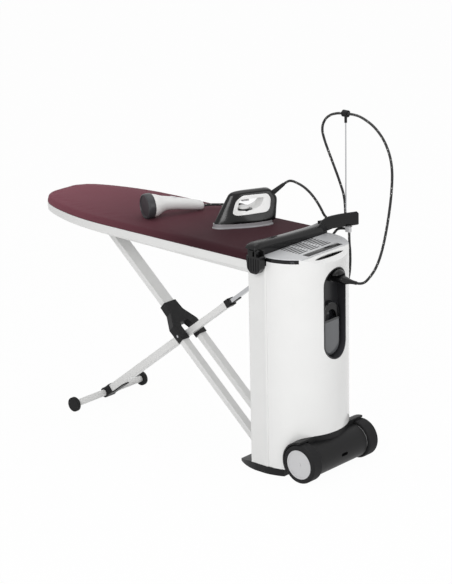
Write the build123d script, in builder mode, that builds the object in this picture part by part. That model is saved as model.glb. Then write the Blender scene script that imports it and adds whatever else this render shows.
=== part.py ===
import math
import os
from build123d import *

# Driving dimensions of the system, in millimetres.
# X runs from the board towards the outer face of the steam station, Y across the board,
# Z up. The origin is on the floor, at the centre of the station's oval.
board_length = 1136
board_half_width = 203.5
cover_top = 820
cover_thickness = 27
lift_travel = 190
oval_depth = 168
oval_half_width = 181
deck_step = 6
deck_height = cover_top - deck_step
shell_wall = 3
wheel_radius = 70.7
wheel_face = 182
wheel_inset = 28
wheel_centre_x = oval_depth - wheel_inset
hose_radius = 4.7

# Clearances and overruns shared by all pieces
run_gap = 0.05
slip_gap = 0.3
overrun = 10

# Places that several pieces share
board_end_x = -70
board_nose_x = board_end_x - board_length
rim_top = cover_top - cover_thickness
column_width = 84
column_depth = 65
column_proud = 4
column_outer_y = oval_half_width + column_proud
column_drop = 40
column_top = cover_top - column_drop
base_height = 28
wheel_centre_z = wheel_radius
well_gap = 3.3
well_radius = wheel_radius + well_gap
guard_wall = 5
guard_radius = well_radius + guard_wall
guard_rise = 2.3
guard_z = wheel_centre_z + guard_rise

# Leg linkage, seen in the X-Z plane: leg A turns on the base, leg B turns on leg A
base_pivot = (-145, 22)
crossing = (-548, 369)
foot_axle = (-991, 28.3)
board_pivot_x = -42
lower_a = math.hypot(crossing[0] - base_pivot[0], crossing[1] - base_pivot[1])
lower_b = math.hypot(crossing[0] - foot_axle[0], crossing[1] - foot_axle[1])
angle_a = math.atan2(crossing[1] - base_pivot[1], base_pivot[0] - crossing[0])
angle_b = math.atan2(crossing[1] - foot_axle[1], crossing[0] - foot_axle[0])
upper_b = (board_pivot_x - crossing[0]) / math.cos(angle_b)
board_pivot_z = crossing[1] + upper_b * math.sin(angle_b)
along_a = Vector(-math.cos(angle_a), 0, math.sin(angle_a))
above_a = Vector(math.sin(angle_a), 0, math.cos(angle_a))
along_b = Vector(math.cos(angle_b), 0, math.sin(angle_b))
above_b = Vector(-math.sin(angle_b), 0, math.cos(angle_b))

os.makedirs("parts", exist_ok=True)


def keep(piece, name):
    # Label a finished piece and write it as one STEP file
    piece.label = name
    export_step(piece, f"parts/{name}.step")


def point_a(reach, lift=0):
    # A point of leg A's centre line, at a distance from its base pivot
    return Vector(base_pivot[0], 0, base_pivot[1]) + along_a * reach + above_a * lift


def point_b(reach, lift=0):
    # A point of leg B's centre line, at a distance from its foot axle
    return Vector(foot_axle[0], 0, foot_axle[1]) + along_b * reach + above_b * lift


def section_a(reach, side=0):
    return Plane(origin=point_a(reach) + Vector(0, side, 0), x_dir=(0, 1, 0), z_dir=along_a)


def section_b(reach, side=0, lift=0):
    return Plane(origin=point_b(reach, lift) + Vector(0, side, 0), x_dir=(0, 1, 0), z_dir=along_b)


def cross_plane(x, z, start):
    # A plane facing +Y at a point of the X-Z plane, for pins and discs that lie across
    return Plane(origin=(x, start, z), x_dir=(-1, 0, 0), z_dir=(0, 1, 0))


# The board's outline: straight sides that close to a blunt nose
straight_share = 0.56
reach_shares = (0.744, 0.854, 0.929, 0.969, 0.992)
half_shares = (0.953, 0.825, 0.678, 0.540, 0.365)


def board_outline(inset, end_x=board_end_x):
    half = board_half_width - inset
    nose = board_nose_x + inset
    reach = board_end_x - nose
    bends = [(board_end_x - a * reach, b * half) for a, b in zip(reach_shares, half_shares)]
    with BuildSketch(mode=Mode.PRIVATE) as outline:
        with BuildLine():
            taper_start = (board_end_x - straight_share * reach, half)
            Spline(taper_start, *bends, (nose, 0), tangents=((-1, 0), (0, -1)))
            Line((end_x, half), taper_start)
            mirror(about=Plane.XZ)
            Line((end_x, half), (end_x, -half))
        make_face()
    return outline.sketch


def oval(inset, start_x=0):
    # The station's oval, kept on the outer side of start_x
    reach = oval_depth
    with BuildSketch(mode=Mode.PRIVATE) as shape:
        Ellipse(oval_depth - inset, oval_half_width - inset)
        with Locations((start_x - reach, 0)):
            Rectangle(2 * reach, 3 * oval_half_width, mode=Mode.SUBTRACT)
    return shape.sketch


# Base plate: a moulded foot under the station that thins to a tip on the board's side
base_tip_x = -161
base_outer_x = 58
base_tip_height = 9
base_tip_half = 150
base_half = 187
base_outer_half = 166
base_flat_x = -88
base_widest_x = -60
slot_half = 75
slot_end_x = -118
lug_width = 15
lug_height = 37
lug_length = 36
shaft_radius = 6
with BuildPart() as base_plate:
    with BuildSketch():
        with BuildLine():
            ThreePointArc((base_tip_x, base_tip_half), (base_widest_x, base_half),
                          (base_outer_x, base_outer_half))
            mirror(about=Plane.XZ)
            Line((base_tip_x, base_tip_half), (base_tip_x, -base_tip_half))
            Line((base_outer_x, base_outer_half), (base_outer_x, -base_outer_half))
        make_face()
    extrude(amount=base_height)
    with BuildSketch(Plane.XZ):
        with BuildLine():
            Polyline((base_tip_x, 0), (base_outer_x, 0), (base_outer_x, base_height),
                     (base_flat_x, base_height), (base_tip_x, base_tip_height), (base_tip_x, 0))
        make_face()
    extrude(amount=base_half, both=True, mode=Mode.INTERSECT)
    with BuildSketch(Plane.XY.offset(-overrun)):
        with Locations(((base_tip_x + slot_end_x) / 2 - overrun / 2, 0)):
            Rectangle(slot_end_x - base_tip_x + overrun, 2 * slot_half)
    extrude(amount=base_height + 2 * overrun, mode=Mode.SUBTRACT)
    for side in (-slot_half - lug_width, slot_half):
        with BuildSketch(Plane.XZ.offset(-side)):
            with Locations((base_tip_x + lug_length / 2, lug_height / 2)):
                RectangleRounded(lug_length, lug_height, lug_length / 4)
        extrude(amount=-lug_width)
    with BuildSketch(Plane.XZ):
        with Locations(base_pivot):
            Circle(shaft_radius + run_gap)
    extrude(amount=base_half, both=True, mode=Mode.SUBTRACT)
keep(base_plate.part, "base_plate")

with BuildPart() as leg_base_shaft:
    with BuildSketch(Plane.XZ):
        with Locations(base_pivot):
            Circle(shaft_radius)
    extrude(amount=slot_half + lug_width, both=True)
keep(leg_base_shaft.part, "leg_base_shaft")

# Rear columns: two rounded aluminium posts that guide the board's lift
column_wall = 3
column_round = 7
column_y = column_outer_y - column_depth / 2
tube_radius = 14
tube_wall = 2
tube_low = 330
guide_height = 44
tube_seat = 12
with BuildPart() as rear_columns:
    with BuildSketch(Plane.XY.offset(base_height)):
        with Locations((-column_width / 2, column_y), (-column_width / 2, -column_y)):
            RectangleRounded(column_width, column_depth, column_round)
            Rectangle(column_width - 2 * column_wall, column_depth - 2 * column_wall, mode=Mode.SUBTRACT)
    extrude(amount=column_top - base_height)
keep(rear_columns.part, "rear_columns")

with BuildPart() as column_caps:
    with BuildSketch(Plane.XY.offset(column_top)):
        with Locations((-column_width / 2, column_y), (-column_width / 2, -column_y)):
            Rectangle(column_width - 2 * column_wall - slip_gap, column_depth - 2 * column_wall - slip_gap)
            Circle(tube_radius + run_gap, mode=Mode.SUBTRACT)
    extrude(amount=-guide_height)
keep(column_caps.part, "column_caps")

with BuildPart() as lift_tubes:
    with BuildSketch(Plane.XY.offset(tube_low)):
        with Locations((-column_width / 2, column_y), (-column_width / 2, -column_y)):
            Circle(tube_radius)
            Circle(tube_radius - tube_wall, mode=Mode.SUBTRACT)
    extrude(amount=column_top + tube_seat - tube_low)
keep(lift_tubes.part, "lift_tubes")

# Station shell: a tall oval with a sloping lip, the pill-shaped recess and the wheel arch
shell_drop = 17
shell_top = deck_height - shell_drop
lip_x = 111
lip_fall = 2
lip_height = deck_height - lip_fall
lip_slope = 23
arch_gap = 1
arch_radius = guard_radius + arch_gap
arch_top = guard_z + arch_radius + arch_gap
recess_half = 60
recess_height = 338
recess_drop = 219
recess_z = deck_height - recess_drop
lens_half_length = 76
lens_half_width = 8
lens_share = 0.42
lip_drop = (oval_depth - lip_x) * math.tan(math.radians(lip_slope))


def lip_wedge(drop):
    # The wedge above the sloping lip, cut off from the oval's top
    with BuildPart() as wedge:
        with BuildSketch(Plane.XZ):
            with BuildLine():
                Polyline((lip_x, lip_height - drop), (oval_depth, lip_height - drop - lip_drop),
                         (oval_depth + overrun, lip_height - drop - lip_drop),
                         (oval_depth + overrun, deck_height + overrun), (lip_x, deck_height + overrun),
                         (lip_x, lip_height - drop))
            make_face()
        extrude(amount=oval_half_width, both=True)
    return wedge.part


outer_wedge = lip_wedge(0)
inner_wedge = lip_wedge(shell_wall)

with BuildPart() as shell_room:
    with BuildSketch(Plane.XY.offset(base_height - overrun)):
        add(oval(shell_wall, shell_wall))
    extrude(amount=deck_height + overrun - base_height + overrun)
    add(inner_wedge, mode=Mode.SUBTRACT)

with BuildPart() as housing_shell:
    with BuildSketch(Plane.XY.offset(base_height)):
        add(oval(0))
    extrude(amount=lip_height - base_height)
    add(outer_wedge, mode=Mode.SUBTRACT)
    add(shell_room.part, mode=Mode.SUBTRACT)
    with BuildSketch(Plane.XY.offset(shell_top)):
        with Locations((lip_x / 2 - overrun, 0)):
            Rectangle(lip_x + 2 * overrun, 3 * oval_half_width)
    extrude(amount=deck_height, mode=Mode.SUBTRACT)
    with BuildSketch(Plane.XZ):
        with Locations((wheel_centre_x, guard_z)):
            Circle(arch_radius)
        with Locations((wheel_centre_x + arch_radius / 2, arch_top / 2)):
            Rectangle(arch_radius, arch_top)
    extrude(amount=oval_half_width + overrun, both=True, mode=Mode.SUBTRACT)
    with BuildSketch(Plane.YZ.offset(shell_wall + overrun)):
        with Locations((0, recess_z)):
            SlotOverall(recess_height + 2 * slip_gap, 2 * (recess_half + slip_gap), rotation=90)
    extrude(amount=oval_depth, mode=Mode.SUBTRACT)
    with BuildSketch(Plane.XY.offset(lip_height - lip_drop - overrun)):
        with Locations((lip_x + lens_share * (oval_depth - lip_x), 0)):
            Ellipse(lens_half_width, lens_half_length)
    extrude(amount=lip_drop + 2 * overrun, mode=Mode.SUBTRACT)
keep(housing_shell.part, "housing_shell")

# Black band between the shell and the deck, on both sides
band_wall = 3.2
deck_plate = 3
band_low = shell_top
band_high = deck_height - deck_plate
with BuildPart() as side_trim:
    with BuildSketch(Plane.XY.offset(band_low)):
        add(oval(0))
        add(oval(band_wall), mode=Mode.SUBTRACT)
        with Locations((lip_x + oval_depth, 0)):
            Rectangle(2 * oval_depth, 3 * oval_half_width, mode=Mode.SUBTRACT)
    extrude(amount=band_high - band_low)
    button_x = 93
    button_y = -oval_half_width * math.sqrt(1 - (button_x / oval_depth) ** 2)
    button_facing = Vector(button_x / oval_depth ** 2, button_y / oval_half_width ** 2, 0).normalized()
    button_z = (band_low + band_high) / 2
    button_length = 15
    button_height = 8
    button_plane = Plane(origin=(button_x, button_y, button_z), x_dir=(0, 0, 1), z_dir=button_facing)
    with BuildSketch(button_plane.offset(-overrun)):
        RectangleRounded(button_height, button_length, button_height / 3)
    extrude(amount=2 * overrun, mode=Mode.SUBTRACT)
keep(side_trim.part, "side_trim")

button_depth = 5
button_proud = 1.2
button_pocket = 12
with BuildPart() as power_button:
    with BuildSketch(button_plane.offset(button_proud)):
        RectangleRounded(button_height - slip_gap, button_length - slip_gap, (button_height - slip_gap) / 3)
    extrude(amount=-button_depth)
keep(power_button.part, "power_button")

# Deck: a flat metal top with three groups of louvres and the control strip
deck_inner_x = -20
deck_web = 6
louvre_rows = 5
louvre_groups = 3
louvre_length = 56
louvre_width = 5
louvre_pitch = 14
group_pitch = 68
louvre_x = 20
strip_x = 94
strip_width = 22
strip_half = 90
strip_depth = 2.4
window_thickness = 1.8
with BuildPart() as top_deck:
    with BuildSketch(Plane.XY.offset(deck_height)):
        Ellipse(oval_depth, oval_half_width)
        with Locations((deck_inner_x - oval_depth, 0), (lip_x + oval_depth, 0)):
            Rectangle(2 * oval_depth, 3 * oval_half_width, mode=Mode.SUBTRACT)
    extrude(amount=-deck_plate)
    with BuildSketch(Plane.XY.offset(deck_height - deck_plate)):
        add(oval(band_wall + slip_gap, shell_wall + slip_gap))
        with Locations((lip_x + oval_depth - shell_wall, 0)):
            Rectangle(2 * oval_depth, 3 * oval_half_width, mode=Mode.SUBTRACT)
    extrude(amount=-deck_web)
    with BuildSketch(Plane.XY.offset(deck_height)):
        with Locations((louvre_x, 0)):
            with GridLocations(louvre_pitch, group_pitch, louvre_rows, louvre_groups):
                Rectangle(louvre_width, louvre_length)
    extrude(amount=-deck_plate - deck_web, mode=Mode.SUBTRACT)
    with BuildSketch(Plane.XY.offset(deck_height)):
        with Locations((strip_x, 0)):
            RectangleRounded(strip_width, 2 * strip_half, strip_width / 4)
    extrude(amount=-strip_depth, mode=Mode.SUBTRACT)
    with BuildSketch(button_plane):
        RectangleRounded(button_height, button_length, button_height / 3)
    extrude(amount=-button_pocket, mode=Mode.SUBTRACT)
keep(top_deck.part, "top_deck")

with BuildPart() as display_window:
    with BuildSketch(Plane.XY.offset(deck_height - strip_depth)):
        with Locations((strip_x, 0)):
            RectangleRounded(strip_width - slip_gap, 2 * strip_half - slip_gap, (strip_width - slip_gap) / 4)
    extrude(amount=window_thickness)
keep(display_window.part, "display_window")

# Recess panel: the dark pill-shaped dish in the outer face, with the hose socket and the tank's window
recess_floor_x = 126
recess_wall = 4
recess_lip = 1
tank_half = 46
tank_height = 200
tank_drop = 62
tank_z = recess_z - tank_drop
tank_back_x = 34
tank_front_x = 146
socket_rise = 129
socket_z = recess_z + socket_rise
socket_radius = 17
socket_bore = 11.3
socket_front_x = 150
with BuildPart() as recess_panel:
    with BuildSketch(Plane.YZ.offset(recess_floor_x - recess_wall)):
        with Locations((0, recess_z)):
            SlotOverall(recess_height, 2 * recess_half, rotation=90)
    extrude(amount=oval_depth - recess_floor_x + recess_wall + recess_lip)
    with BuildSketch(Plane.XY.offset(recess_z - recess_height)):
        add(oval(-recess_lip))
    extrude(amount=2 * recess_height, mode=Mode.INTERSECT)
    with BuildSketch(Plane.YZ.offset(recess_floor_x)):
        with Locations((0, recess_z)):
            SlotOverall(recess_height - 2 * recess_wall, 2 * (recess_half - recess_wall), rotation=90)
    extrude(amount=oval_depth, mode=Mode.SUBTRACT)
    with BuildSketch(Plane.YZ.offset(recess_floor_x)):
        with Locations((0, socket_z)):
            Circle(socket_radius)
    extrude(amount=socket_front_x - recess_floor_x)
    with BuildSketch(Plane.YZ.offset(recess_floor_x - overrun)):
        with Locations((0, socket_z)):
            Circle(socket_bore)
        with Locations((0, tank_z)):
            SlotOverall(tank_height + 2 * slip_gap, 2 * (tank_half + slip_gap), rotation=90)
    extrude(amount=oval_depth, mode=Mode.SUBTRACT)
keep(recess_panel.part, "recess_panel")

# Water tank: a pill-shaped canister that slides out of the recess, with a grip arch at its top
tank_wall = 2.5
tank_round = 10
grip_drop = 63
grip_low_z = tank_z + tank_height / 2 - grip_drop
grip_depth = 22
grip_wall = 4
with BuildPart() as water_tank:
    with BuildSketch(Plane.YZ.offset(tank_back_x)):
        with Locations((0, tank_z)):
            SlotOverall(tank_height, 2 * tank_half, rotation=90)
    extrude(amount=tank_front_x - tank_back_x)
    fillet(water_tank.faces().sort_by(Axis.X)[-1].edges(), radius=tank_round)
    with BuildSketch(Plane.YZ.offset(tank_back_x + tank_wall)):
        with Locations((0, tank_z)):
            SlotOverall(tank_height - 2 * tank_wall, 2 * (tank_half - tank_wall), rotation=90)
    extrude(amount=tank_front_x - grip_depth - tank_back_x - 2 * tank_wall, mode=Mode.SUBTRACT)
    with BuildSketch(Plane.YZ.offset(tank_front_x - grip_depth)):
        with Locations((0, tank_z)):
            SlotOverall(tank_height - 2 * grip_wall, 2 * (tank_half - grip_wall), rotation=90)
        with Locations((0, grip_low_z - tank_height)):
            Rectangle(4 * tank_half, 2 * tank_height, mode=Mode.SUBTRACT)
    extrude(amount=grip_depth + overrun, mode=Mode.SUBTRACT)
keep(water_tank.part, "water_tank")

grip_bar = 9
grip_inset = 5
with BuildPart() as tank_grip:
    with BuildSketch(Plane.YZ.offset(tank_front_x - grip_inset - grip_bar)):
        with Locations((0, tank_z)):
            SlotOverall(tank_height - 2 * grip_wall, 2 * (tank_half - grip_wall), rotation=90)
        with Locations((0, grip_low_z - tank_height)):
            Rectangle(4 * tank_half, 2 * tank_height, mode=Mode.SUBTRACT)
        with Locations((0, grip_low_z)):
            Ellipse(tank_half - 4 * grip_wall, tank_half - 3 * grip_wall, mode=Mode.SUBTRACT)
    extrude(amount=grip_bar)
keep(tank_grip.part, "tank_grip")

# Socket hood: the rounded cover over the hose connection
hood_radius = 36
hood_drop = 2
hood_z = socket_z - hood_drop
hood_rise = 20
hood_low_z = hood_z + hood_rise
hood_front_x = 188
hood_wall = 3
hood_round = 16
with BuildPart() as socket_hood:
    with BuildSketch(Plane.YZ.offset(recess_floor_x)):
        with Locations((0, hood_z)):
            Circle(hood_radius)
    extrude(amount=hood_front_x - recess_floor_x)
    fillet(socket_hood.faces().sort_by(Axis.X)[-1].edges(), radius=hood_round)
    with BuildSketch(Plane.YZ.offset(recess_floor_x)):
        with Locations((0, hood_z)):
            Circle(hood_radius - hood_wall)
    extrude(amount=hood_front_x - recess_floor_x - hood_round, mode=Mode.SUBTRACT)
    with BuildSketch(Plane.XY.offset(hood_low_z)):
        with Locations((hood_front_x, 0)):
            Rectangle(3 * hood_front_x, 3 * hood_radius)
    extrude(amount=-2 * hood_radius, mode=Mode.SUBTRACT)
keep(socket_hood.part, "socket_hood")

# Hose plug: a turned body that narrows to a bend relief, seated in the socket
plug_tip_x = 130
plug_collar_x = 156
plug_grip_x = 200
plug_neck_x = 226
plug_end_x = 256
plug_tip_radius = 11
plug_grip_radius = 14.5
plug_neck_radius = 9.5
plug_end_radius = 6.5
with BuildPart() as hose_plug:
    with BuildSketch(Plane.XZ):
        with BuildLine():
            Polyline((plug_tip_x, socket_z), (plug_tip_x, socket_z + plug_tip_radius),
                     (plug_collar_x, socket_z + plug_tip_radius),
                     (plug_collar_x, socket_z + plug_grip_radius),
                     (plug_grip_x, socket_z + plug_grip_radius))
            Spline((plug_grip_x, socket_z + plug_grip_radius), (plug_neck_x, socket_z + plug_neck_radius),
                   (plug_end_x, socket_z + plug_end_radius), tangents=((1, 0), (1, 0)))
            Polyline((plug_end_x, socket_z + plug_end_radius), (plug_end_x, socket_z),
                     (plug_tip_x, socket_z))
        make_face()
    revolve(axis=Axis((0, 0, socket_z), (1, 0, 0)))
keep(hose_plug.part, "hose_plug")

# Steam boiler and feed pump inside the shell
boiler_radius = 57
boiler_x = 98
boiler_sink = 0.4
boiler_low = guard_z + guard_radius - boiler_sink
boiler_height = 253.4
boiler_high = boiler_low + boiler_height
boiler_round = 24
with BuildPart() as boiler:
    with BuildSketch(Plane.XY.offset(boiler_low)):
        with Locations((boiler_x, 0)):
            Circle(boiler_radius)
    extrude(amount=boiler_high - boiler_low)
    fillet(boiler.edges().filter_by(GeomType.CIRCLE), radius=boiler_round)
keep(boiler.part, "boiler")

pump_x = 31
pump_width = 46
pump_length = 90
pump_height = 60
pump_motor_radius = 20
with BuildPart() as pump:
    with BuildSketch(Plane.XY.offset(base_height)):
        with Locations((pump_x, 0)):
            RectangleRounded(pump_width, pump_length, pump_width / 6)
    extrude(amount=pump_height)
    with BuildSketch(Plane.XY.offset(base_height + pump_height)):
        with Locations((pump_x, 0)):
            Circle(pump_motor_radius)
    extrude(amount=pump_height)
keep(pump.part, "pump")

# Wheel housing: the black cylinder across the foot of the station, with an arch over each wheel
housing_inset = 8.7
housing_radius = wheel_radius - housing_inset
well_y = 127
guard_inset = 4
guard_y = oval_half_width - guard_inset
skirt_inset = 4
skirt_x = 62
skirt_drop = 2
skirt_top = guard_z + guard_radius - skirt_drop
housing_wall = 5
inlet_width = 34
inlet_height = 12
inlet_depth = 14
with BuildPart() as wheel_housing:
    with BuildSketch(Plane.XY.offset(base_height + slip_gap)):
        add(oval(skirt_inset, skirt_x))
    extrude(amount=skirt_top - base_height - slip_gap)
    with BuildSketch(Plane.XZ):
        with Locations((wheel_centre_x, guard_z)):
            Circle(guard_radius)
    extrude(amount=guard_y, both=True)
    with BuildSketch(Plane.XZ):
        with Locations((wheel_centre_x + wheel_radius, guard_z)):
            Rectangle(2 * wheel_radius, 4 * wheel_radius)
    extrude(amount=guard_y, both=True, mode=Mode.SUBTRACT)
    with BuildSketch(Plane.XZ):
        with Locations((wheel_centre_x - guard_radius, 0)):
            Rectangle(2 * guard_radius, 2 * base_height)
    extrude(amount=guard_y, both=True, mode=Mode.SUBTRACT)
    with BuildSketch(Plane.XY.offset(base_height + slip_gap)):
        add(oval(skirt_inset, wheel_centre_x))
    extrude(amount=skirt_top - base_height - slip_gap)
    with BuildSketch(Plane.XZ):
        with Locations((wheel_centre_x, wheel_centre_z)):
            Circle(housing_radius)
    extrude(amount=well_y, both=True)
    for start in (-guard_y - overrun, well_y):
        with BuildSketch(Plane.XZ.offset(-start)):
            with Locations((wheel_centre_x, wheel_centre_z)):
                Circle(well_radius)
        extrude(amount=-(guard_y - well_y + overrun), mode=Mode.SUBTRACT)
    with BuildSketch(Plane.XY.offset(base_height + housing_wall)):
        with Locations(((skirt_x + wheel_centre_x) / 2, 0)):
            Rectangle(wheel_centre_x - skirt_x - 2 * housing_wall, 2 * (well_y - housing_wall))
    extrude(amount=skirt_top - base_height - 2 * housing_wall, mode=Mode.SUBTRACT)
    with BuildSketch(Plane.XZ):
        with Locations((wheel_centre_x, wheel_centre_z)):
            Circle(shaft_radius + run_gap)
    extrude(amount=well_y, both=True, mode=Mode.SUBTRACT)
    with BuildSketch(Plane.YZ.offset(wheel_centre_x + housing_radius - inlet_depth)):
        with Locations((0, wheel_centre_z)):
            SlotOverall(inlet_width, inlet_height)
    extrude(amount=inlet_depth, mode=Mode.SUBTRACT)
keep(wheel_housing.part, "wheel_housing")

# Transport wheels: soft tyres on moulded hubs, free on one steel axle
tyre_start = 133
tyre_round = 6
tyre_wall = 16.7
rim_radius = wheel_radius - tyre_wall
hub_start = 129
flange_lip = 5
flange_radius = rim_radius + flange_lip
flange_width = 3
dish_depth = 2
cap_radius = 7
cap_height = 2
axle_half = 172
with BuildPart() as wheel_axle:
    with BuildSketch(Plane.XZ):
        with Locations((wheel_centre_x, wheel_centre_z)):
            Circle(shaft_radius)
    extrude(amount=axle_half, both=True)
keep(wheel_axle.part, "wheel_axle")

with BuildPart() as near_tyre:
    with BuildSketch(Plane.XZ.offset(tyre_start)):
        with Locations((wheel_centre_x, wheel_centre_z)):
            Circle(wheel_radius)
    extrude(amount=wheel_face - tyre_start)
    fillet(near_tyre.edges().filter_by(GeomType.CIRCLE), radius=tyre_round)
    with BuildSketch(Plane.XZ.offset(tyre_start)):
        with Locations((wheel_centre_x, wheel_centre_z)):
            Circle(rim_radius)
    extrude(amount=wheel_face - tyre_start, mode=Mode.SUBTRACT)

with BuildPart() as near_hub:
    with BuildSketch(Plane.XZ.offset(hub_start)):
        with Locations((wheel_centre_x, wheel_centre_z)):
            Circle(flange_radius)
    extrude(amount=flange_width)
    with BuildSketch(Plane.XZ.offset(hub_start)):
        with Locations((wheel_centre_x, wheel_centre_z)):
            Circle(rim_radius)
    extrude(amount=wheel_face - hub_start - dish_depth / 4)
    with BuildSketch(Plane.XZ.offset(wheel_face - dish_depth)):
        with Locations((wheel_centre_x, wheel_centre_z)):
            Circle(rim_radius - tyre_round)
            Circle(cap_radius, mode=Mode.SUBTRACT)
    extrude(amount=dish_depth, mode=Mode.SUBTRACT)
    with BuildSketch(Plane.XZ.offset(hub_start)):
        with Locations((wheel_centre_x, wheel_centre_z)):
            Circle(shaft_radius + run_gap)
    extrude(amount=axle_half - hub_start + cap_height, mode=Mode.SUBTRACT)
keep(near_tyre.part, "tyre_near")
keep(near_hub.part, "hub_near")
keep(mirror(near_tyre.part, about=Plane.XZ), "tyre_far")
keep(mirror(near_hub.part, about=Plane.XZ), "hub_far")

# Gland of the second hose on the far side of the shell
gland_x = 20
gland_z = 610
gland_start = oval_half_width * math.sqrt(1 - (gland_x / oval_depth) ** 2)
gland_length = 26
gland_radius = 12
gland_end_radius = 6
with BuildPart() as hose_gland:
    with BuildSketch(Plane.XZ.offset(-gland_start + overrun)):
        with Locations((gland_x, gland_z)):
            Circle(gland_radius)
    extrude(amount=-overrun)
    with BuildSketch(Plane.XZ.offset(-gland_start)):
        with Locations((gland_x, gland_z)):
            Circle(gland_radius)
    with BuildSketch(Plane.XZ.offset(-gland_start - gland_length)):
        with Locations((gland_x, gland_z)):
            Circle(gland_end_radius)
    loft()
    with BuildSketch(Plane.XY.offset(gland_z - 2 * gland_radius)):
        add(oval(0))
    extrude(amount=4 * gland_radius, mode=Mode.SUBTRACT)
keep(hose_gland.part, "hose_gland")

# Board pan: a white tray under the ironing surface that thins towards the nose
pan_side = 30
pan_flat_z = rim_top - pan_side
pan_taper = 20
pan_low_z = pan_flat_z - pan_taper
pan_nose_rise = 25
pan_inset = 16
pan_wall = 4.4
pan_floor = 2.2
notch_x = -88
notch_half = 188
panel_thickness = 2.7
panel_ledge = 2.2
fan_x = -300
fan_hole = 62
channel_y = 48
channel_web = 2.5
channel_lip_y = 34
channel_lip = 2
channel_depth = 28.7
channel_ends = (-1005, -765)
floor_slope = pan_nose_rise / board_length


def floor_z(x, rise=0):
    # Height of the pan's sloping underside at x
    return pan_low_z + rise + floor_slope * (board_end_x - x)


def under_floor(rise):
    # Everything below the pan's sloping underside
    far_x = board_nose_x - overrun
    near_x = board_end_x + overrun
    with BuildPart() as below:
        with BuildSketch(Plane.XZ):
            with BuildLine():
                Polyline((far_x, floor_z(far_x, rise)), (near_x, floor_z(near_x, rise)),
                         (near_x, pan_low_z - 2 * overrun), (far_x, pan_low_z - 2 * overrun),
                         (far_x, floor_z(far_x, rise)))
            make_face()
        extrude(amount=board_half_width + overrun, both=True)
    return below.part


def floor_strip(drop, depth):
    # A strip along a channel, parallel to the underside: its side view
    far_x, near_x = channel_ends
    with BuildSketch(mode=Mode.PRIVATE) as strip:
        with BuildLine():
            Polyline((far_x, floor_z(far_x, -drop)), (near_x, floor_z(near_x, -drop)),
                     (near_x, floor_z(near_x, -drop - depth)), (far_x, floor_z(far_x, -drop - depth)),
                     (far_x, floor_z(far_x, -drop)))
        make_face()
    return strip.sketch


below_floor = under_floor(0)
below_room = under_floor(pan_floor)
room_end_x = notch_x - pan_wall

with BuildPart() as pan_room:
    with BuildSketch(Plane.XY.offset(pan_flat_z)):
        add(board_outline(pan_wall, room_end_x))
    extrude(amount=rim_top - pan_flat_z)
    with BuildSketch(Plane.XY.offset(pan_flat_z)):
        add(board_outline(pan_wall, room_end_x))
    with BuildSketch(Plane.XY.offset(pan_low_z)):
        add(board_outline(pan_inset + pan_wall, room_end_x))
    loft()
    add(below_room, mode=Mode.SUBTRACT)

with BuildPart() as board_pan:
    with BuildSketch(Plane.XY.offset(pan_flat_z)):
        add(board_outline(0))
    extrude(amount=rim_top - pan_flat_z)
    with BuildSketch(Plane.XY.offset(pan_flat_z)):
        add(board_outline(0))
    with BuildSketch(Plane.XY.offset(pan_low_z)):
        add(board_outline(pan_inset))
    loft()
    add(below_floor, mode=Mode.SUBTRACT)
    add(pan_room.part, mode=Mode.SUBTRACT)
    with BuildSketch(Plane.XY.offset(rim_top)):
        add(board_outline(panel_ledge, notch_x - panel_ledge))
    extrude(amount=-panel_thickness, mode=Mode.SUBTRACT)
    with BuildSketch(Plane.XY.offset(pan_low_z - overrun)):
        with Locations((notch_x + notch_half, 0)):
            Rectangle(2 * notch_half, 2 * notch_half)
        with Locations((fan_x, 0)):
            Circle(fan_hole)
    extrude(amount=pan_flat_z - pan_low_z + overrun, mode=Mode.SUBTRACT)
    with BuildSketch(Plane.XY.offset(pan_flat_z)):
        with Locations((notch_x + notch_half, 0)):
            Rectangle(2 * notch_half, 2 * notch_half)
    extrude(amount=rim_top - pan_flat_z, mode=Mode.SUBTRACT)
    for start in (channel_y, -channel_y - channel_web):
        with BuildSketch(Plane.XZ.offset(-start)):
            add(floor_strip(-pan_floor / 2, channel_depth + channel_lip + pan_floor / 2))
        extrude(amount=-channel_web)
    for start in (channel_lip_y, -channel_y - channel_web):
        with BuildSketch(Plane.XZ.offset(-start)):
            add(floor_strip(channel_depth, channel_lip))
        extrude(amount=-(channel_y + channel_web - channel_lip_y))
keep(board_pan.part, "board_pan")

# Ironing panel: a perforated metal sheet let into the pan
vent_pitch_x = 105
vent_pitch_y = 110
vent_columns = 9
vent_rows = 3
vent_length = 56
vent_width = 14
vent_x = -560
with BuildPart() as ironing_panel:
    with BuildSketch(Plane.XY.offset(rim_top)):
        add(board_outline(panel_ledge + slip_gap, notch_x - panel_ledge - slip_gap))
        with Locations((vent_x, 0)):
            with GridLocations(vent_pitch_x, vent_pitch_y, vent_columns, vent_rows):
                Rectangle(vent_length, vent_width, mode=Mode.SUBTRACT)
    extrude(amount=-panel_thickness)
keep(ironing_panel.part, "ironing_panel")

# Cover: the padded cloth on top of the panel
cover_round = 9
with BuildPart() as board_cover:
    with BuildSketch(Plane.XY.offset(rim_top)):
        add(board_outline(0))
    extrude(amount=cover_thickness)
    fillet(board_cover.faces().sort_by(Axis.Z)[-1].edges(), radius=cover_round)
keep(board_cover.part, "board_cover")

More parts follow.
